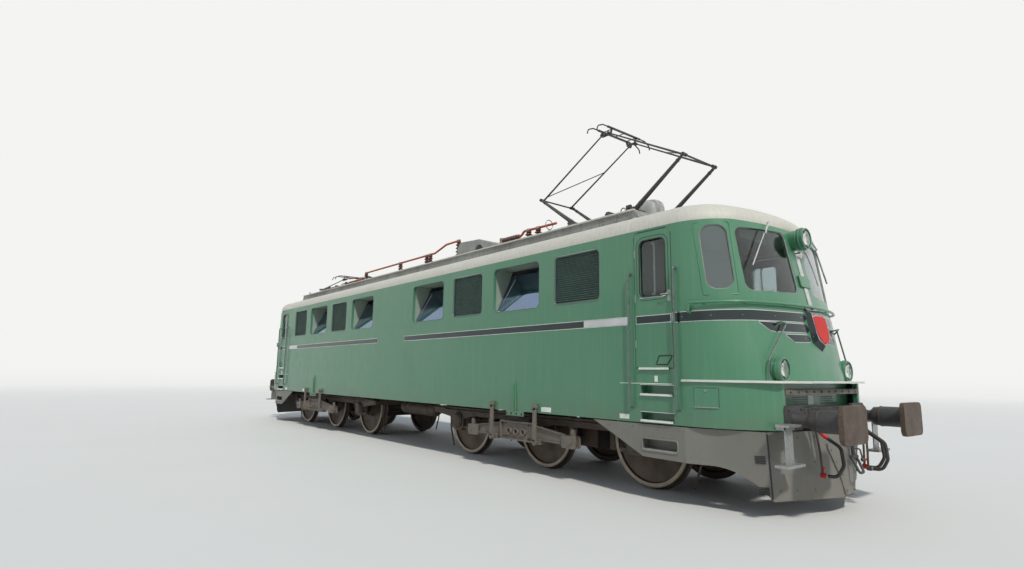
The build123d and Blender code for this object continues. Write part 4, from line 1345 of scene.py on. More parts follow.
class LOCO_OT_pantographs(bpy.types.Operator):
    """Builds the tapered arms, knuckles, contact strips and horns of the two pantographs."""

    bl_idname = "loco.pantographs"
    bl_label = "Build the pantographs"

    def execute(self, context):
        for end_name, end, angles in (("front", 1, RAISED), ("rear", -1, LOWERED)):
            for arm, sign in (("a", 1), ("b", -1)):
                lower_arm(f"lower_arm_{arm}_{end_name}", end * PANTO_X, sign, angles)
                upper_arm(f"upper_arm_{arm}_{end_name}", end * PANTO_X, sign, angles)
            contact_head(end_name, end * PANTO_X, angles)
        return {"FINISHED"}


# Windows

# The corner windows are cut square to a plane across the round corner
CORNER_CENTRE = (7.925, -1.273)
CORNER_ALONG = (0.84, 0.542)
CORNER_WINDOW = [(-0.22, 3.395), (0.114, 3.395), (0.199, 2.585), (-0.133, 2.585)]
WINDSCREEN = [(-1.12, 3.374), (-0.178, 3.408), (-0.18, 2.59), (-1.104, 2.568)]


def front_point(y, z, out):
    """A point of the cab face at y and z, moved out along its normal."""
    pillar_y = between([(CAB_LOW[0], CAB_LOW[3]), (CAB_HIGH[0], CAB_HIGH[3])], z)
    return cab_skin(-y / pillar_y, z, out)


def corner_point(across, z, out):
    """The point of the round corner that lies across metres along the corner window's plane, moved out."""
    low, high = 0.9, 2.4
    for _ in range(30):
        u = (low + high) / 2
        p = cab_skin(u, z, out)
        reach = (p.x - CORNER_CENTRE[0]) * CORNER_ALONG[0] + (p.y - CORNER_CENTRE[1]) * CORNER_ALONG[1]
        low, high = (u, high) if reach > across else (low, u)
    return p


class LOCO_OT_seals(bpy.types.Operator):
    """Adds the seals of the windscreens, corner windows and side windows."""

    bl_idname = "loco.seals"
    bl_label = "Fit the window seals"

    def execute(self, context):
        width = context.scene.loco_sizes.seal / 2
        seals = Shape()
        seals.tube([front_point(*p, -0.016) for p in rounded(WINDSCREEN, 0.11, 8)], width, 8, True)
        outline = rounded(CORNER_WINDOW, 0.13, 10)
        seals.tube([corner_point(*p, -0.014) for p in outline], width, 8, True)
        frames = Shape()
        wide = [(-0.275, 3.43), (0.15, 3.43), (0.235, 2.52), (-0.17, 2.52)]
        frames.tube([corner_point(*p, 0.001) for p in rounded(wide, 0.03, 5)], 0.01, 8, True)
        frames.place("corner_window_frames", "body_enamel", "YX")
        seals.place("cab_window_seals", "seal_rubber", "YX")
        beads = Shape()
        for x, wide in SIDE_WINDOWS + SIDE_LOUVRES:
            outline = rounded(rectangle(x, OPENING_MID, wide, OPENING_HEIGHT), OPENING_R, 6)
            beads.bead(outline, -HALF_WIDTH + 0.003, 0.007, 6)
        beads.place("side_window_beads", "louvre_paint", "YX")
        stays = Shape()
        for x, wide in SIDE_WINDOWS:
            left = x - wide / 2
            stays.tube([(left + 0.05, -1.4, 2.61), (left + 0.16, -1.12, 3.2)], 0.011, 8)
            for k in (0.34, 0.66):
                at = left + wide * k
                stays.box((at - 0.009, -1.412, 2.6), (at + 0.009, -1.4, 2.63))
        stays.place("window_stays", "galvanised", "YX")
        edges = Shape()
        for x, wide in SIDE_LOUVRES:
            half = wide / 2 - OPENING_R
            start = (x - half, -HALF_WIDTH - 0.003, OPENING_HIGH - 0.006)
            edges.box(start, (x + half, -HALF_WIDTH + 0.02, OPENING_HIGH))
        edges.place("louvre_drip_edges", "polished_trim", "YX")
        return {"FINISHED"}


# Doors

DOOR_WINDOW = (7.115, 2.938, 0.41, 0.755)
DOOR_LEFT, DOOR_RIGHT = 6.828, 7.402
BAND_LOW, BAND_HIGH = 2.209, 2.321


def door_head():
    """Adds plates that round the top corners of the door openings, and the bead round each opening."""
    plates, bead = Shape(), Shape()
    x0, x1, top, radius = 6.816, 7.414, 3.44, 0.11
    for corner, sign in ((x0, 1), (x1, -1)):
        angles = [radians(90 * k / 8) for k in range(9)]
        arc = [(corner + sign * radius * (1 - cos(a)), top - radius * (1 - sin(a))) for a in angles]
        plates.plate([(corner, top)] + arc, -1.4872, -1.4856)
    line = [(x0 - 0.012, 1.64), (x0 - 0.012, top + 0.012), (x1 + 0.012, top + 0.012), (x1 + 0.012, 1.64)]
    bead.tube(bend([(x, -1.4855, z) for x, z in line], 0.12, 8), 0.006, 8)
    plates.place("door_corner_plates", "body_enamel", "YX")
    bead.place("door_beads", "body_enamel", "YX")


def fit_door(place, end, side):
    body = f"cab_door_{place}"
    x, z, wide, high = DOOR_WINDOW
    outline = rounded(rectangle(x, z, wide - 0.002, high - 0.002), 0.079, 6)
    pane = Shape()
    pane.prism(outline, 0.006, moved(0, -1.457, 0, SIDE_PLANE))
    pane.place(f"door_pane_{place}", "door_glass", body=body, corner=(end, side))
    seal = Shape()
    for y, radius in ((-1.486, 0.009), (-1.44, 0.008)):
        seal.bead(outline, y, radius)
    grown = rounded(rectangle(x, z, wide + 0.09, high + 0.09), 0.12, 6)
    seal.bead(grown, -1.4852, 0.0035, 6)
    grip = rounded([(7.15, 1.69), (7.32, 1.69), (7.4, 1.8), (7.195, 1.8)], 0.012, 4)
    seal.bead(grip, -1.486, 0.007)
    seal.place(f"door_seals_{place}", "rubber_and_shade_black", body=body, corner=(end, side))
    bar = Shape()
    bar.tube([(7.09, -1.398, 2.585), (7.09, -1.398, 3.29)], 0.013, 12)
    for at in (2.6, 3.275):
        bar.box((7.078, -1.436, at - 0.012), (7.102, -1.398, at + 0.012))
    bar.place(f"door_bar_{place}", "white_paint", slot="polished", body=body, corner=(end, side))
    fittings = Shape()
    lock = rounded(rectangle(7.366, 2.552, 0.046, 0.15), 0.02, 4)
    fittings.prism(lock, 0.004, moved(0, -1.485, 0, SIDE_PLANE))
    for at in (1.95, 2.55, 3.15):
        fittings.tube([(DOOR_LEFT + 0.004, -1.4865, at + half) for half in (-0.05, 0.05)], 0.007, 8)
    fittings.place(f"door_lock_{place}", "galvanised", bevel=0.001, body=body, corner=(end, side))
    handle = Shape()
    handle.cone((7.366, -1.4845, 2.569), (7.366, -1.493, 2.569), 0.024, 0.022, 20)
    lever = [(7.366, -1.485, 2.569), (7.366, -1.529, 2.569), (7.276, -1.529, 2.569)]
    handle.tube(bend(lever, 0.02), 0.009, 12)
    handle.place(f"door_handle_{place}", "galvanised", body=body, corner=(end, side))
    sill = Shape()
    sill.box((6.905, -1.4895, 2.548), (7.325, -1.4845, 2.556))
    sill.place(f"door_sill_{place}", "white_paint", bevel=0.001, body=body, corner=(end, side))
    add_band(f"door_band_{place}", body, DOOR_LEFT + 0.012, DOOR_RIGHT - 0.012, end, side)


class LOCO_OT_doors(bpy.types.Operator):
    """Adds the glass, seals, bars and fittings of the four cab doors."""

    bl_idname = "loco.doors"
    bl_label = "Fit the cab doors"

    def execute(self, context):
        for end_name, end in ENDS.items():
            for side_name, side in SIDES.items():
                fit_door(f"{end_name}_{side_name}", end, side)
        door_head()
        return {"FINISHED"}


def add_band(name, body, x0, x1, end, side):
    """A straight piece of the side band: a bright edge with dark enamel in it."""
    edge = Shape()
    edge.box((x0, -HALF_WIDTH - 0.0035, BAND_LOW), (x1, -HALF_WIDTH + 0.001, BAND_HIGH))
    edge.place(f"{name}_edge", "polished_trim", bevel=0.0008, body=body, corner=(end, side))
    face = Shape()
    start = (x0 + 0.009, -HALF_WIDTH - 0.0055, BAND_LOW + 0.01)
    face.box(start, (x1 - 0.009, -HALF_WIDTH - 0.003, BAND_HIGH - 0.01))
    face.place(f"{name}_face", "band_enamel", bevel=0.0008, body=body, corner=(end, side))


# Bands, winglets and shield

# Rows of (u, height) for the upper and lower edges of each band on the cab
CAB_BANDS = {
    "long_band": (
        [(0.178, 2.286), (0.2, 2.338), (0.6, 2.331), (1.0, 2.333), (2.0, 2.323), (2.098, 2.321)],
        [(0.178, 2.278), (0.255, 2.226), (0.6, 2.221), (1.0, 2.213), (2.0, 2.209), (2.098, 2.209)],
    ),
    "middle_winglet": (
        [(0.18, 2.144), (0.22, 2.199), (0.655, 2.194), (0.915, 2.197)],
        [(0.18, 2.136), (0.222, 2.097), (0.738, 2.088), (0.8, 2.098), (0.915, 2.19)],
    ),
    "short_winglet": (
        [(0.203, 2.017), (0.246, 2.065), (0.6, 2.056)],
        [(0.203, 2.009), (0.232, 1.979), (0.493, 1.972), (0.6, 2.049)],
    ),
}
SIDE_BAND = (0.628, 6.715)
BRIGHT_PIECE = (5.9, 6.706)


def grown(row, step, reach):
    """A band's edge moved by step in height and by reach at its ends."""
    (u0, _), (u1, _) = row[0], row[-1]
    middle = [(u, z + step) for u, z in row[1:-1]]
    return [(u0 - reach, row[0][1] + step)] + middle + [(u1 + reach, row[-1][1] + step)]


def lay_bands(place, end, side):
    add_band(f"side_band_{place}", "carbody", *SIDE_BAND, end, side)
    bright = Shape()
    low, high = BAND_LOW + 0.012, BAND_HIGH - 0.012
    bright.box((BRIGHT_PIECE[0], -HALF_WIDTH - 0.0065, low), (BRIGHT_PIECE[1], -HALF_WIDTH - 0.005, high))
    bright.place(f"bright_band_{place}", "polished_trim", corner=(end, side))
    edges, faces, studs = Shape(), Shape(), Shape()
    for top, bottom in CAB_BANDS.values():
        steps = 48 if top[-1][0] > 1 else 20
        edges.sheet(grown(top, 0.009, 0.008), grown(bottom, -0.009, 0.008), -0.001, 0.0035, steps)
        faces.sheet(top, bottom, 0.002, 0.006, steps)
        span = top[-1][0] - top[0][0]
        for k in range(int(span / 0.42) + 1):
            u = top[0][0] + 0.1 + 0.42 * k
            z = (between(top, u) + between(bottom, u)) / 2
            normal = cab_skin(u, z, 1) - cab_skin(u, z)
            studs.bolt(cab_skin(u, z, 0.005), normal, 0.0045)
    edges.place(f"cab_band_edges_{place}", "polished_trim", corner=(end, side))
    faces.place(f"cab_band_faces_{place}", "band_enamel", corner=(end, side))
    studs.place(f"cab_band_studs_{place}", "polished_trim", corner=(end, side))


class LOCO_OT_bands(bpy.types.Operator):
    """Adds the dark bands with bright edges along the sides and round the cabs."""

    bl_idname = "loco.bands"
    bl_label = "Lay the bands"

    def execute(self, context):
        for end_name, end in ENDS.items():
            for side_name, side in SIDES.items():
                lay_bands(f"{end_name}_{side_name}", end, side)
        return {"FINISHED"}


# Half outlines as (y, z): the shield, and its housing at the cab's skin and at its flat face
SHIELD = [(0, 2.318), (0.08, 2.314), (0.158, 2.3), (0.16, 2.12), (0.13, 2.03), (0.072, 1.985), (0, 1.962)]
HOUSING_BACK = [(0.172, 2.425), (0.196, 2.12), (0.186, 1.962), (0, 1.866)]
HOUSING_FACE = [(0.156, 2.335), (0.163, 2.12), (0.14, 2.012), (0, 1.944)]


def both_halves(half):
    """A half outline and its mirror image, joined."""
    return half + [(-y, z) for y, z in reversed(half) if y]


def shield_x(z, out):
    """The front of the shield's housing, which leans back with the cab."""
    return cab_skin(0, z).x + 0.062 + out


class LOCO_OT_shields(bpy.types.Operator):
    """Adds the plain red shields on their polished housings."""

    bl_idname = "loco.shields"
    bl_label = "Mount the shields"

    def execute(self, context):
        housing = Shape()
        face = [(shield_x(z, 0), y, z) for y, z in both_halves(HOUSING_FACE)]
        back = [front_point(y, z, -0.002) for y, z in both_halves(HOUSING_BACK)]
        housing.skin([back, face])
        housing.place("shield_housings", "band_enamel", "X", 0.004)
        edge = Shape()
        edge.tube(face, 0.005, 8, True)
        edge.place("shield_housing_edges", "polished_trim", "X")
        middle = 2.14
        layers = ((1.05, -0.004, 0.006, "polished_trim"), (1.0, 0.004, 0.014, "shield_enamel"))
        for grow, low, high, key in layers:
            plate = Shape()
            outline = [(y * grow, middle + (z - middle) * grow) for y, z in both_halves(SHIELD)]
            plate.skin([[(shield_x(z, out), y, z) for y, z in outline] for out in (low, high)])
            plate.place(f"shield_layer_{int(grow * 100)}", key, "X", 0.002)
        studs = Shape()
        places = ((0.12, 2.345), (0.168, 2.2), (0.172, 2.05), (0.1, 1.955))
        studs.bolts([front_point(y, z, 0.02) for y, z in places], (1, 0.4, 0), 0.007)
        studs.place("shield_studs", "polished_trim", "X")
        trim = Shape()
        trim.sheet([(-0.042, 3.19), (0.042, 3.19)], [(-0.046, 2.395), (0.046, 2.395)], 0.0, 0.012, 6)
        for z in (2.46, 2.62, 2.9, 3.05, 3.16):
            trim.bolt(cab_skin(0, z, 0.012), (1, 0, 0.15), 0.007)
        trim.place("centre_trim", "polished_trim", "X", 0.001)
        plate = Shape()
        plate.sheet([(-0.118, 2.842), (0.118, 2.842)], [(-0.118, 2.692), (0.118, 2.692)], 0.01, 0.028, 8)
        plate.place("blank_cab_plate", "body_enamel", "X", 0.004)
        return {"FINISHED"}


# Lamps

# columns: name, (radius, middle), depth, flare of the rim, copies
LAMPS = [
    ("lower", (0.13, (8.485, -0.884, 1.641)), 0.19, 0.014, "YX"),
    ("upper", (0.134, (8.435, 0.0, 3.33)), 0.27, 0.004, "X"),
]


class LOCO_OT_lamps(bpy.types.Operator):
    """Builds the headlamps with their lenses, reflectors, bulbs and stepped rims, and the marker lamps."""

    bl_idname = "loco.lamps"
    bl_label = "Fit the headlamps"

    def execute(self, context):
        for name, (r, centre), depth, flare, copies in LAMPS:
            place = moved(*centre, ALONG_X)
            bucket, lens, dish, bulb, rims = Shape(), Shape(), Shape(), Shape(), Shape()
            pane = [(r * 0.75, 0.007), (r * 0.4, 0.016), (0.01, 0.019)]
            lens.turned([(r - 0.013, -0.02), (r - 0.013, -0.008)] + pane, place, 40)
            front = [(0.052, -0.059), (r * 0.72, -0.046), (r - 0.014, -0.024)]
            dish.turned(front + [(r - 0.019, -0.024), (r * 0.68, -0.042), (0.046, -0.054)], place, 40, True)
            bulb.turned([(0.012, -0.06), (0.016, -0.045), (0.022, -0.034), (0.014, -0.025)], place, 16)
            wall = [(r * 0.72, -depth), (r * 0.97, -depth * 0.6), (r, -0.04), (r + flare, -0.034)]
            wall += [(r + flare, 0.0), (r - 0.01, 0.003), (r - 0.012, -0.022), (r * 0.45, -0.06)]
            bucket.turned(wall, place, 48)
            bucket.place(f"{name}_lamp_buckets", "body_enamel", copies, 0.002, instead="headlamps")
            for inner, outer, back, face in (
                (-0.012, 0.006, -0.006, 0.01), (0, 0.019, -0.052, -0.034), (-0.01, 0.01, -0.095, -0.08)
            ):
                rims.ring(r + inner, r + outer, back, face, place, 48)
            lens.place(f"{name}_lamp_lenses", "lamp_glass", copies)
            dish.place(f"{name}_lamp_dishes", "polished_trim", copies)
            bulb.place(f"{name}_lamp_bulbs", "white_paint", copies, slot="lamp")
            rims.place(f"{name}_lamp_rims", "body_enamel", copies, 0.002)
        small = Shape()
        at = cab_skin(0, 3.12, 0.0)
        place = moved(*at, ALONG_X)
        small.turned([(0.045, -0.01), (0.045, 0.05), (0.038, 0.062), (0.02, 0.07)], place, 24)
        small.place("small_marker_lamps", "polished_trim", "X", 0.002)
        return {"FINISHED"}


# Steps and labels

STEP_LEVELS = (1.313, 0.988)


def toothed_tread(shape, x0, x1, y_front, y_back, z):
    """A grating tread: side bars with a row of teeth on its front lip and cross bars behind."""
    count = int((x1 - x0) / 0.032)
    pitch = (x1 - x0) / count
    for k in range(count):
        a = x0 + pitch * k
        tooth = [(a, z), (a + pitch * 0.9, z), (a + pitch * 0.45, z + 0.016)]
        shape.prism(tooth, 0.012, moved(0, y_front + 0.012, 0, SIDE_PLANE))
        shape.box((a, y_front + 0.012, z - 0.001), (a + 0.008, y_back, z + 0.008))
    shape.box((x0, y_front - 0.002, z - 0.014), (x1, y_front + 0.002, z + 0.002))


def skirt_steps(end_name, end):
    x0, x1, z0, z1 = 6.905, 7.435, 0.621, 0.771
    body = f"bogie_{end_name}"
    pocket, frame_ring, tread = Shape(), Shape(), Shape()
    pocket.box((x0 - 0.01, -1.345, z0 - 0.01), (x1 + 0.01, -1.335, z1 + 0.01))
    for low, high in ((z0 - 0.012, z0), (z1, z1 + 0.012)):
        pocket.box((x0 - 0.01, -1.47, low), (x1 + 0.01, -1.335, high))
    for x in (x0 - 0.012, x1):
        pocket.box((x, -1.47, z0), (x + 0.012, -1.335, z1))
    outline = rounded(rectangle((x0 + x1) / 2, (z0 + z1) / 2, x1 - x0, z1 - z0), 0.03, 6)
    frame_ring.bead(outline, -1.486, 0.011)
    toothed_tread(tread, x0 + 0.01, x1 - 0.01, -1.484, -1.34, z0 + 0.016)
    turned = {"body": body, "corner": (end, -1)}
    pocket.place(f"skirt_step_pockets_{end_name}", "skirt_paint", "Y", **turned)
    frame_ring.place(f"skirt_step_frames_{end_name}", "skirt_paint", "Y", **turned)
    tread.place(f"skirt_step_treads_{end_name}", "galvanised", "Y", **turned)


class LOCO_OT_steps(bpy.types.Operator):
    """Adds the toothed treads, step frames, door sills and blank labels."""

    bl_idname = "loco.steps"
    bl_label = "Fit the steps"

    def execute(self, context):
        treads = Shape()
        for z in STEP_LEVELS:
            toothed_tread(treads, STEP_X[0] + 0.004, STEP_X[1] - 0.004, -1.508, -1.362, z)
        toothed_tread(treads, 6.885, 7.345, -1.508, -1.484, 1.64)
        treads.place("step_treads", "white_paint", "YX")
        line = Shape()
        line.box((6.556, -1.4885, 1.446), (7.378, -1.484, 1.455))
        for _, top in STEP_POCKETS:
            line.box((STEP_X[0] - 0.006, -1.4885, top), (STEP_X[1] + 0.006, -1.484, top + 0.006))
        line.place("drip_lines", "white_paint", "YX")
        labels = Shape()
        for plate in ((7.14, 1.512, 0.05, 0.075), (5.1, 1.02, 0.22, 0.07), (6.62, 1.02, 0.16, 0.06)):
            labels.plate(rectangle(*plate), -1.4875, -1.484)
        labels.place("blank_labels", "white_paint", "YX", 0.001)
        for end_name, end in ENDS.items():
            skirt_steps(end_name, end)
        return {"FINISHED"}


# Fittings at the headstocks


class LOCO_OT_buffing_gear(bpy.types.Operator):
    """Adds the buffer rings, bolts, blank plates and ledge strips at the headstocks."""

    bl_idname = "loco.buffing_gear"
    bl_label = "Fit the headstocks"

    def execute(self, context):
        rings = Shape()
        place = moved(0, -BUFFER_Y, BUFFER_Z, ALONG_X)
        for inner, back, front in ((0.06, 8.735, 8.764), (0.12, 8.842, 8.852), (0.12, 9.118, 9.133)):
            rings.ring(inner, 0.084 if inner < 0.1 else 0.129, back, front, place, 36)
        rings.place("buffer_rings", "buffer_steel", "YX", 0.002, slot="buffer_grey")
        bolts = Shape()
        bolts.bolts([(8.545, y, 1.383) for y in (0.1, 0.3, 0.5, 0.7, 0.9)], (1, 0, 0), 0.012)
        places = [(HEADSTOCK_X, y, z) for y in (0.26, 0.36, 0.46, 0.56) for z in (1.15, 1.185)]
        bolts.bolts(places, (1, 0, 0), 0.01)
        bolts.place("headstock_bolts", "tube_paint", "X")
        plates = Shape()
        plates.box((8.397, -0.15, 1.225), (8.402, -0.01, 1.336))
        plates.place("blank_bay_plates", "white_paint", "X", 0.001)
        strip = Shape()
        ys = [0.08 * k - 0.52 for k in range(14)]
        bow = [(8.6505 - 0.06 * (y / 1.13) ** 2, y, LEDGE_Z + 0.015) for y in ys]
        strip.tube(bow, 0.007, 8)
        strip.place("ledge_strips", "white_paint", "X")
        return {"FINISHED"}


# Bogies


NOSE_X, NOSE_HALF = 8.74, 0.17
SKIRT_BEND_X = 7.54


def plough_corner(z):
    """Where the plough's face meets its side panel, at a height."""
    share = (z - 0.191) / 0.754
    return 8.389 + 0.031 * share, 1.115 + 0.125 * share


def plough_x(y, z):
    """The plough's face at y and z."""
    corner_x, corner_y = plough_corner(z)
    share = max(0.0, abs(y) - NOSE_HALF) / (corner_y - NOSE_HALF)
    return NOSE_X + (corner_x - NOSE_X) * share


def plough_side(x, z):
    """How far out the plough's side panel is at x and z."""
    corner_x, corner_y = plough_corner(z)
    return HALF_WIDTH - (x - SKIRT_BEND_X) / (corner_x - SKIRT_BEND_X) * (HALF_WIDTH - corner_y)


def dress_plough(end_name, end):
    body = f"bogie_{end_name}"
    nose = Shape()
    rows = []
    for z, half in ((0.215, 0.127), (0.437, 0.214), (0.742, 0.371), (0.8, 0.385)):
        bend_y = NOSE_HALF if half > NOSE_HALF else half * 0.5
        ys = sorted([-half, -half * 0.6, -bend_y, 0, bend_y, half * 0.6, half])
        back = [(plough_x(y, z) - 0.002, y, z) for y in ys]
        rows.append(back + [(plough_x(y, z) + 0.02, y, z) for y in reversed(ys)])
    nose.skin(rows)
    nose.place(f"plough_nose_plate_{end_name}", "skirt_paint", bevel=0.003, body=body, corner=(end, -1))
    bolts = Shape()
    for y, z in ((0.1, 0.26), (0.18, 0.45), (0.26, 0.6), (0.33, 0.73), (0.1, 0.76)):
        bolts.bolts([(plough_x(y, z) + 0.02, y, z)], (1, 0.3, 0), 0.011)
    for y in (0.55, 0.8, 1.02):
        bolts.bolts([(plough_x(y, z), y, z) for z in (0.3, 0.6, 0.88)], (0.95, 0.3, 0), 0.01)
    bolts.bolts([(x, HALF_WIDTH, 0.905) for x in (6.35, 6.75, 7.15, 7.45)], (0, 1, 0), 0.01)
    bolts.place(f"skirt_bolts_{end_name}", "skirt_paint", body=body, corner=(end, -1))
    dark = Shape()
    for high, low in ((0.69, 0.6), (0.35, 0.26)):
        for k in range(5):
            z = low + (high - low) * k / 5
            place = moved(8.32, -plough_side(8.32, z), z) @ Matrix.Rotation(radians(18.7), 4, "Z")
            dark.box((-0.055, -0.01, 0.0), (0.055, 0.002, 0.01), place)
    # A black rod along the plough's corner: painted shade of a groove there
    foot, head = plough_corner(0.22), plough_corner(0.93)
    dark.tube([(foot[0], -foot[1], 0.22), (head[0], -head[1], 0.93)], 0.009, 8)
    made = {"slot": "skirt_grey", "body": body, "corner": (end, -1)}
    dark.place(f"plough_brackets_and_groove_shade_{end_name}", "rubber_and_shade_black", "Y", 0.001, **made)


def dress_axle_boxes(end_name, end):
    body = f"bogie_{end_name}"
    bolts, pipes = Shape(), Shape()
    middle = end * PIVOT_X
    angles = [radians(60 * k + 30) for k in range(6)]
    for x in AXLES:
        places = [(middle + x + 0.138 * cos(a), 1.148, AXLE_Z + 0.138 * sin(a)) for a in angles]
        bolts.bolts(places, (0, 1, 0), 0.011)
    bolts.bolts([(middle - 2.88 + 0.48 * k, 1.12, 0.874) for k in range(13)], (0, 1, 0), 0.01)
    line = [(-2.98, 0.87), (-2.6, 0.87), (-2.5, 0.845), (2.5, 0.845), (2.6, 0.87), (2.98, 0.87)]
    pipes.tube([(middle + x, 1.145, z) for x, z in line], 0.013, 10)
    for x in (-1.6, 0.6, 1.9):
        at = middle + x
        pipes.tube([(at, 1.145, 0.845), (at, 1.145, 0.7), (at + 0.08, 1.0, 0.6)], 0.01, 8)
    bolts.place(f"axle_box_bolts_{end_name}", "gear_steel", body=body)
    pipes.place(f"bogie_pipes_{end_name}", "gear_steel", "Y", body=body)


def bolt_beams(end_name, end):
    bolts = Shape()
    for z in (0.545, 0.75):
        row = [(end * (BEAM_MIDDLE + x), 1.421, z) for x in (-0.36, -0.3, 0.27, 0.33, 0.39)]
        bolts.bolts(row, (0, 1, 0), 0.012)
    row = [(end * (BEAM_MIDDLE + x), 1.507, 0.923) for x in (-0.17, -0.06, 0.07, 0.2)]
    bolts.bolts(row, (0, 1, 0), 0.014)
    bolts.place(f"beam_bolts_{end_name}", "gear_steel", slot="beam_grey")


class LOCO_OT_bogie_fittings(bpy.types.Operator):
    """Adds bolts, nose plates, brackets, a painted groove shadow and pipes to the bogies and the spring
    beams.
    """

    bl_idname = "loco.bogie_fittings"
    bl_label = "Fit the bogies"

    def execute(self, context):
        for end_name, end in ENDS.items():
            dress_plough(end_name, end)
            dress_axle_boxes(end_name, end)
            bolt_beams(end_name, end)
        return {"FINISHED"}


# Roof

# columns: middle x, middle y, half length, half width
HATCHES = [
    (-1.3, 0.45, 0.65, 0.45), (1.3, 0.45, 0.65, 0.45), (3.9, 0.45, 0.55, 0.4), (-3.9, 0.45, 0.55, 0.4),
    (0, -0.1, 0.4, 0.25),
]
# Places of the clamps on the conductors. columns: x, z
CLAMPS = [
    (-1.332, 4.296), (-0.057, 4.298), (0.113, 4.298), (1.285, 4.431), (3.637, 4.234), (3.905, 4.23),
    (-3.3, 4.292),
]


class LOCO_OT_roof_fittings(bpy.types.Operator):
    """Adds hatches, seams, bolts, lifting eyes and conductor clamps on the roof."""

    bl_idname = "loco.roof_fittings"
    bl_label = "Fit the roof"

    def execute(self, context):
        hatches = Shape()
        for x, y, a, b in HATCHES:
            for inset, low, high in ((0, -0.002, 0.022), (0.05, 0, 0.032)):
                start = (x - a + inset, y - b + inset, RAISED_TOP_Z + low)
                hatches.box(start, (x + a - inset, y + b - inset, RAISED_TOP_Z + high))
        hatches.place("roof_hatches", "deck_paint", bevel=0.006)
        bolts, eyes = Shape(), Shape()
        bolts.bolts([(-6.5 + 0.25 * k, 1.152, 3.8) for k in range(53)], (0, 1, 0), 0.01)
        bolts.bolts([(-6.1 + 0.2711 * k, 1.12, RAISED_TOP_Z) for k in range(46)], (0, 0, 1), 0.009)
        for x in (-6.3, -2.4, 2.4, 6.3):
            eyes.bead([(x + a, RAISED_TOP_Z + 0.045 + b) for a, b in circle(0.045, 16)], 1.06, 0.01)
        bolts.place("roof_bolts", "deck_paint")
        eyes.place("lifting_eyes", "deck_paint", "Y")
        clamps = Shape()
        y = CONDUCTOR_Y
        for x, z in CLAMPS:
            clamps.turned([(0.03, -0.035), (0.03, 0.035)], moved(x, y, z, ALONG_X), 20)
            clamps.box((x - 0.012, y - 0.045, z - 0.02), (x + 0.012, y + 0.045, z + 0.02))
        clamps.tube([(4.2, y + a, 4.228 + b) for a, b in circle(0.085, 24)], 0.009, 8, True)
        clamps.tube([(4.2, y, RAISED_TOP_Z), (4.2, y, 4.145)], 0.016, 10)
        clamps.place("conductor_clamps", "galvanised", bevel=0.002)
        seams = Shape()
        angles = [radians(9 * k) for k in range(11)]
        seams.tube([(6.716, 1.231 + 0.255 * cos(a), 3.468 + 0.255 * sin(a)) for a in angles], 0.007, 8)
        seams.place("roof_seams", "roof_paint", "YX", slot="roof_cream")
        return {"FINISHED"}


# Inside the cabs


class LOCO_OT_cab_inside(bpy.types.Operator):
    """Adds dials, levers, blinds and grab poles inside the cabs."""

    bl_idname = "loco.cab_inside"
    bl_label = "Fit the cabs' inside"

    def execute(self, context):
        dials, rims, levers, blinds = Shape(), Shape(), Shape(), Shape()
        for y in (-0.95, -0.8, -0.35, 0.35, 0.8, 0.95):
            turn = moved(7.86, y, 2.405, facing((-0.19, 0, 0.98)))
            dials.turned([(0.055, 0), (0.055, 0.004)], turn, 24)
            rims.ring(0.054, 0.066, 0, 0.012, turn, 24)
        for y in (-0.2, 0.0, 0.2):
            levers.tube([(7.8, y, 2.38), (7.74, y, 2.55)], 0.009, 8)
            levers.turned([(0.02, 0), (0.026, 0.02), (0.02, 0.04)], moved(7.735, y, 2.54), 14)
        blinds.boxes((8.03, 0.25, 3.27), (8.038, 0.92, 3.42))
        for y in (-1.36, 1.36):
            blinds.tube([(7.6, y, 1.66), (7.6, y, 3.4)], 0.014, 10)
        dials.place("desk_dials", "white_paint", "X", slot="interior")
        rims.place("desk_dial_rims", "rubber_and_shade_black", "X", slot="interior")
        levers.place("desk_levers", "polished_trim", "X")
        blinds.place("cab_blinds", "inner_paint", "X")
        return {"FINISHED"}


# Stage

CAMERA_PLACE = (11.73383, -7.58787, 1.54087)
CAMERA_RIGHT = (0.63317628, 0.77388344, 0.01386429)
CAMERA_UP = (0.10944478, -0.10724921, 0.98818999)
CAMERA_BACK = (0.7662308, -0.62418109, -0.15260516)
KEY_FROM = (0.63, -0.29, 0.72)


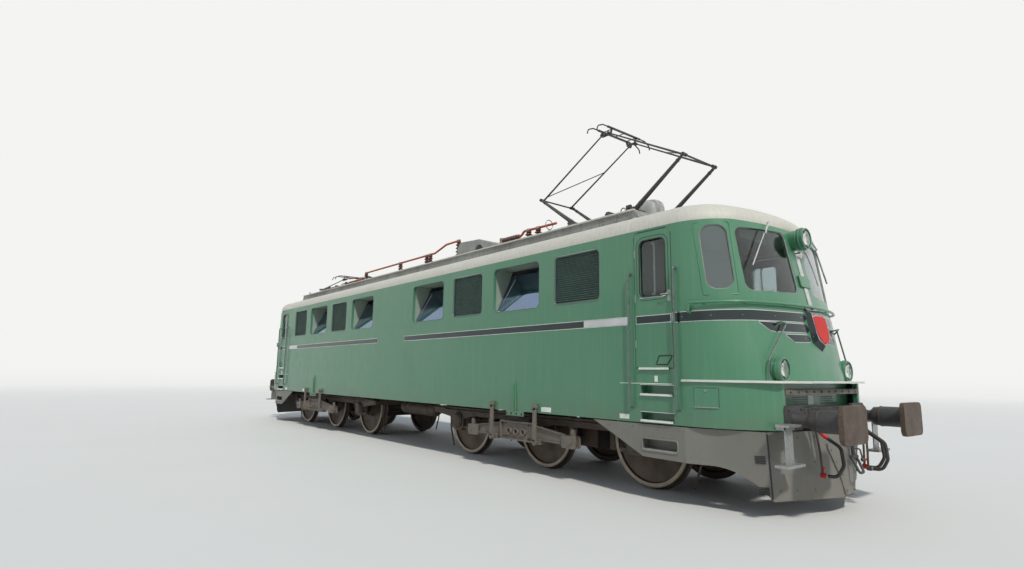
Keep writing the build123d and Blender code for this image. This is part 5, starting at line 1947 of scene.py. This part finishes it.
def add_floor(look):
    """A pale round floor whose rim curves up out of sight."""
    bowl = bmesh.new()
    rings = [(25.0, 0.0), (60.0, 0.0), (75.0, 1.5), (86.0, 7.0), (92.0, 16.0)]
    made = []
    for radius, height in rings:
        made.append([bowl.verts.new((x, y, height)) for x, y in circle(radius, 96)])
    bowl.faces.new(made[0])
    for low, high in zip(made, made[1:]):
        for k in range(96):
            bowl.faces.new((low[(k + 1) % 96], low[k], high[k], high[(k + 1) % 96]))
    data = bpy.data.meshes.new("studio_floor")
    bowl.to_mesh(data)
    bowl.free()
    data.shade_smooth()
    floor = bpy.data.objects.new("studio_floor", data)
    bpy.context.scene.collection.objects.link(floor)
    # Pale painted studio floor, rolled: matt and even
    material = finish("rolled_studio_floor", tuple(look.floor), (0.7, 0.8), ("#D2D1CC", 3.0, 0.3))
    tree = material.node_tree
    place = add(tree, "ShaderNodeTexCoord").outputs["Object"]
    reach = add(tree, "ShaderNodeVectorMath", {"operation": "LENGTH"}, None, {0: place}).outputs["Value"]
    span = {"From Min": 16.0, "From Max": 84.0}
    smooth = {"interpolation_type": "SMOOTHSTEP"}
    away = add(tree, "ShaderNodeMapRange", smooth, span, {"Value": reach}).outputs["Result"]
    rays = add(tree, "ShaderNodeLightPath").outputs
    both = {0: away, 1: rays["Is Camera Ray"]}
    away = add(tree, "ShaderNodeMath", {"operation": "MULTIPLY"}, None, both).outputs[0]
    paper = add(tree, "ShaderNodeEmission", None, {"Color": linear("#F4F4F2")})
    under = tree.nodes["Principled BSDF"].outputs[0]
    blend = add(tree, "ShaderNodeMixShader", None, None, {0: away, 1: under, 2: paper.outputs[0]})
    tree.links.new(blend.outputs[0], tree.nodes["Material Output"].inputs["Surface"])
    data.materials.append(material)


def add_light(context, look):
    sun = bpy.data.lights.new("key_light", "SUN")
    sun.energy = look.sun
    sun.angle = radians(4)
    sun.color = (1.0, 0.97, 0.92)
    lamp = bpy.data.objects.new("key_light", sun)
    lamp.rotation_euler = facing(KEY_FROM).to_euler()
    context.scene.collection.objects.link(lamp)
    world = bpy.data.worlds.new("studio_sky")
    world.use_nodes = True
    context.scene.world = world
    tree = world.node_tree
    tree.nodes.clear()
    place = add(tree, "ShaderNodeTexCoord").outputs["Generated"]
    height = add(tree, "ShaderNodeSeparateXYZ", None, None, {"Vector": place}).outputs["Z"]
    fade = add(
        tree, "ShaderNodeMapRange", None, {"From Min": -0.05, "From Max": 0.7}, {"Value": height}
    ).outputs["Result"]
    tint = layer(tree, linear("#E9ECEE"), linear("#B9CBE0"), fade)
    fill = add(tree, "ShaderNodeBackground", None, {"Strength": look.sky}, {"Color": tint})
    seen = add(tree, "ShaderNodeBackground", None, {"Color": linear("#F4F4F2"), "Strength": 1.0})
    rays = add(tree, "ShaderNodeLightPath").outputs
    sharp = add(
        tree, "ShaderNodeMath", {"operation": "ADD", "use_clamp": True}, None,
        {0: rays["Is Glossy Ray"], 1: rays["Is Transmission Ray"]},
    ).outputs[0]
    shown = add(
        tree, "ShaderNodeMath", {"operation": "ADD", "use_clamp": True}, None,
        {0: rays["Is Camera Ray"], 1: sharp},
    ).outputs[0]
    mix = add(tree, "ShaderNodeMixShader", None, None, {0: shown, 1: fill.outputs[0], 2: seen.outputs[0]})
    add(tree, "ShaderNodeOutputWorld", None, None, {"Surface": mix.outputs[0]})
    context.scene.view_settings.view_transform = "Standard"


class LOCO_OT_stage(bpy.types.Operator):
    """Adds the floor, the soft light and the camera at the viewing angle."""

    bl_idname = "loco.stage"
    bl_label = "Set the stage"

    def execute(self, context):
        look = context.scene.loco_stage
        add_floor(look)
        add_light(context, look)
        data = bpy.data.cameras.new("Camera")
        data.sensor_width = 36
        data.sensor_fit = "HORIZONTAL"
        data.lens = look.lens
        data.clip_end = 500
        camera = bpy.data.objects.new("Camera", data)
        context.scene.collection.objects.link(camera)
        turn = Matrix((CAMERA_RIGHT, CAMERA_UP, CAMERA_BACK)).transposed().to_4x4()
        camera.matrix_world = moved(*CAMERA_PLACE, turn)
        context.scene.camera = camera
        return {"FINISHED"}


class LOCO_PT_panel(bpy.types.Panel):
    """Lists the makers of the locomotive's pieces."""

    bl_idname = "LOCO_PT_panel"
    bl_label = "Locomotive"
    bl_space_type = "VIEW_3D"
    bl_region_type = "UI"
    bl_category = "Locomotive"

    def draw(self, context):
        for group in (context.scene.loco_paints, context.scene.loco_sizes, context.scene.loco_stage):
            for key in group.__annotations__:
                self.layout.prop(group, key)
        for maker in MAKERS:
            self.layout.operator(maker.bl_idname)


GROUPS = {"loco_paints": LOCO_paints, "loco_sizes": LOCO_sizes, "loco_stage": LOCO_stage}
MAKERS = [
    LOCO_OT_finishes, LOCO_OT_wheels, LOCO_OT_bogie_frames, LOCO_OT_underframe, LOCO_OT_spring_beams,
    LOCO_OT_couplings, LOCO_OT_rails, LOCO_OT_louvres, LOCO_OT_roof_equipment, LOCO_OT_pantographs,
    LOCO_OT_seals, LOCO_OT_doors, LOCO_OT_bands, LOCO_OT_shields, LOCO_OT_lamps, LOCO_OT_steps,
    LOCO_OT_buffing_gear, LOCO_OT_bogie_fittings, LOCO_OT_roof_fittings, LOCO_OT_cab_inside, LOCO_OT_stage,
]


def register():
    for cls in list(GROUPS.values()) + MAKERS + [LOCO_PT_panel]:
        bpy.utils.register_class(cls)
    for name, cls in GROUPS.items():
        setattr(bpy.types.Scene, name, bpy.props.PointerProperty(type=cls))


def unregister():
    for name in GROUPS:
        delattr(bpy.types.Scene, name)
    for cls in reversed(list(GROUPS.values()) + MAKERS + [LOCO_PT_panel]):
        bpy.utils.unregister_class(cls)


def main():
    register()
    for maker in MAKERS:
        group, name = maker.bl_idname.split(".")
        getattr(getattr(bpy.ops, group), name)()


if __name__ == "__main__":
    main()
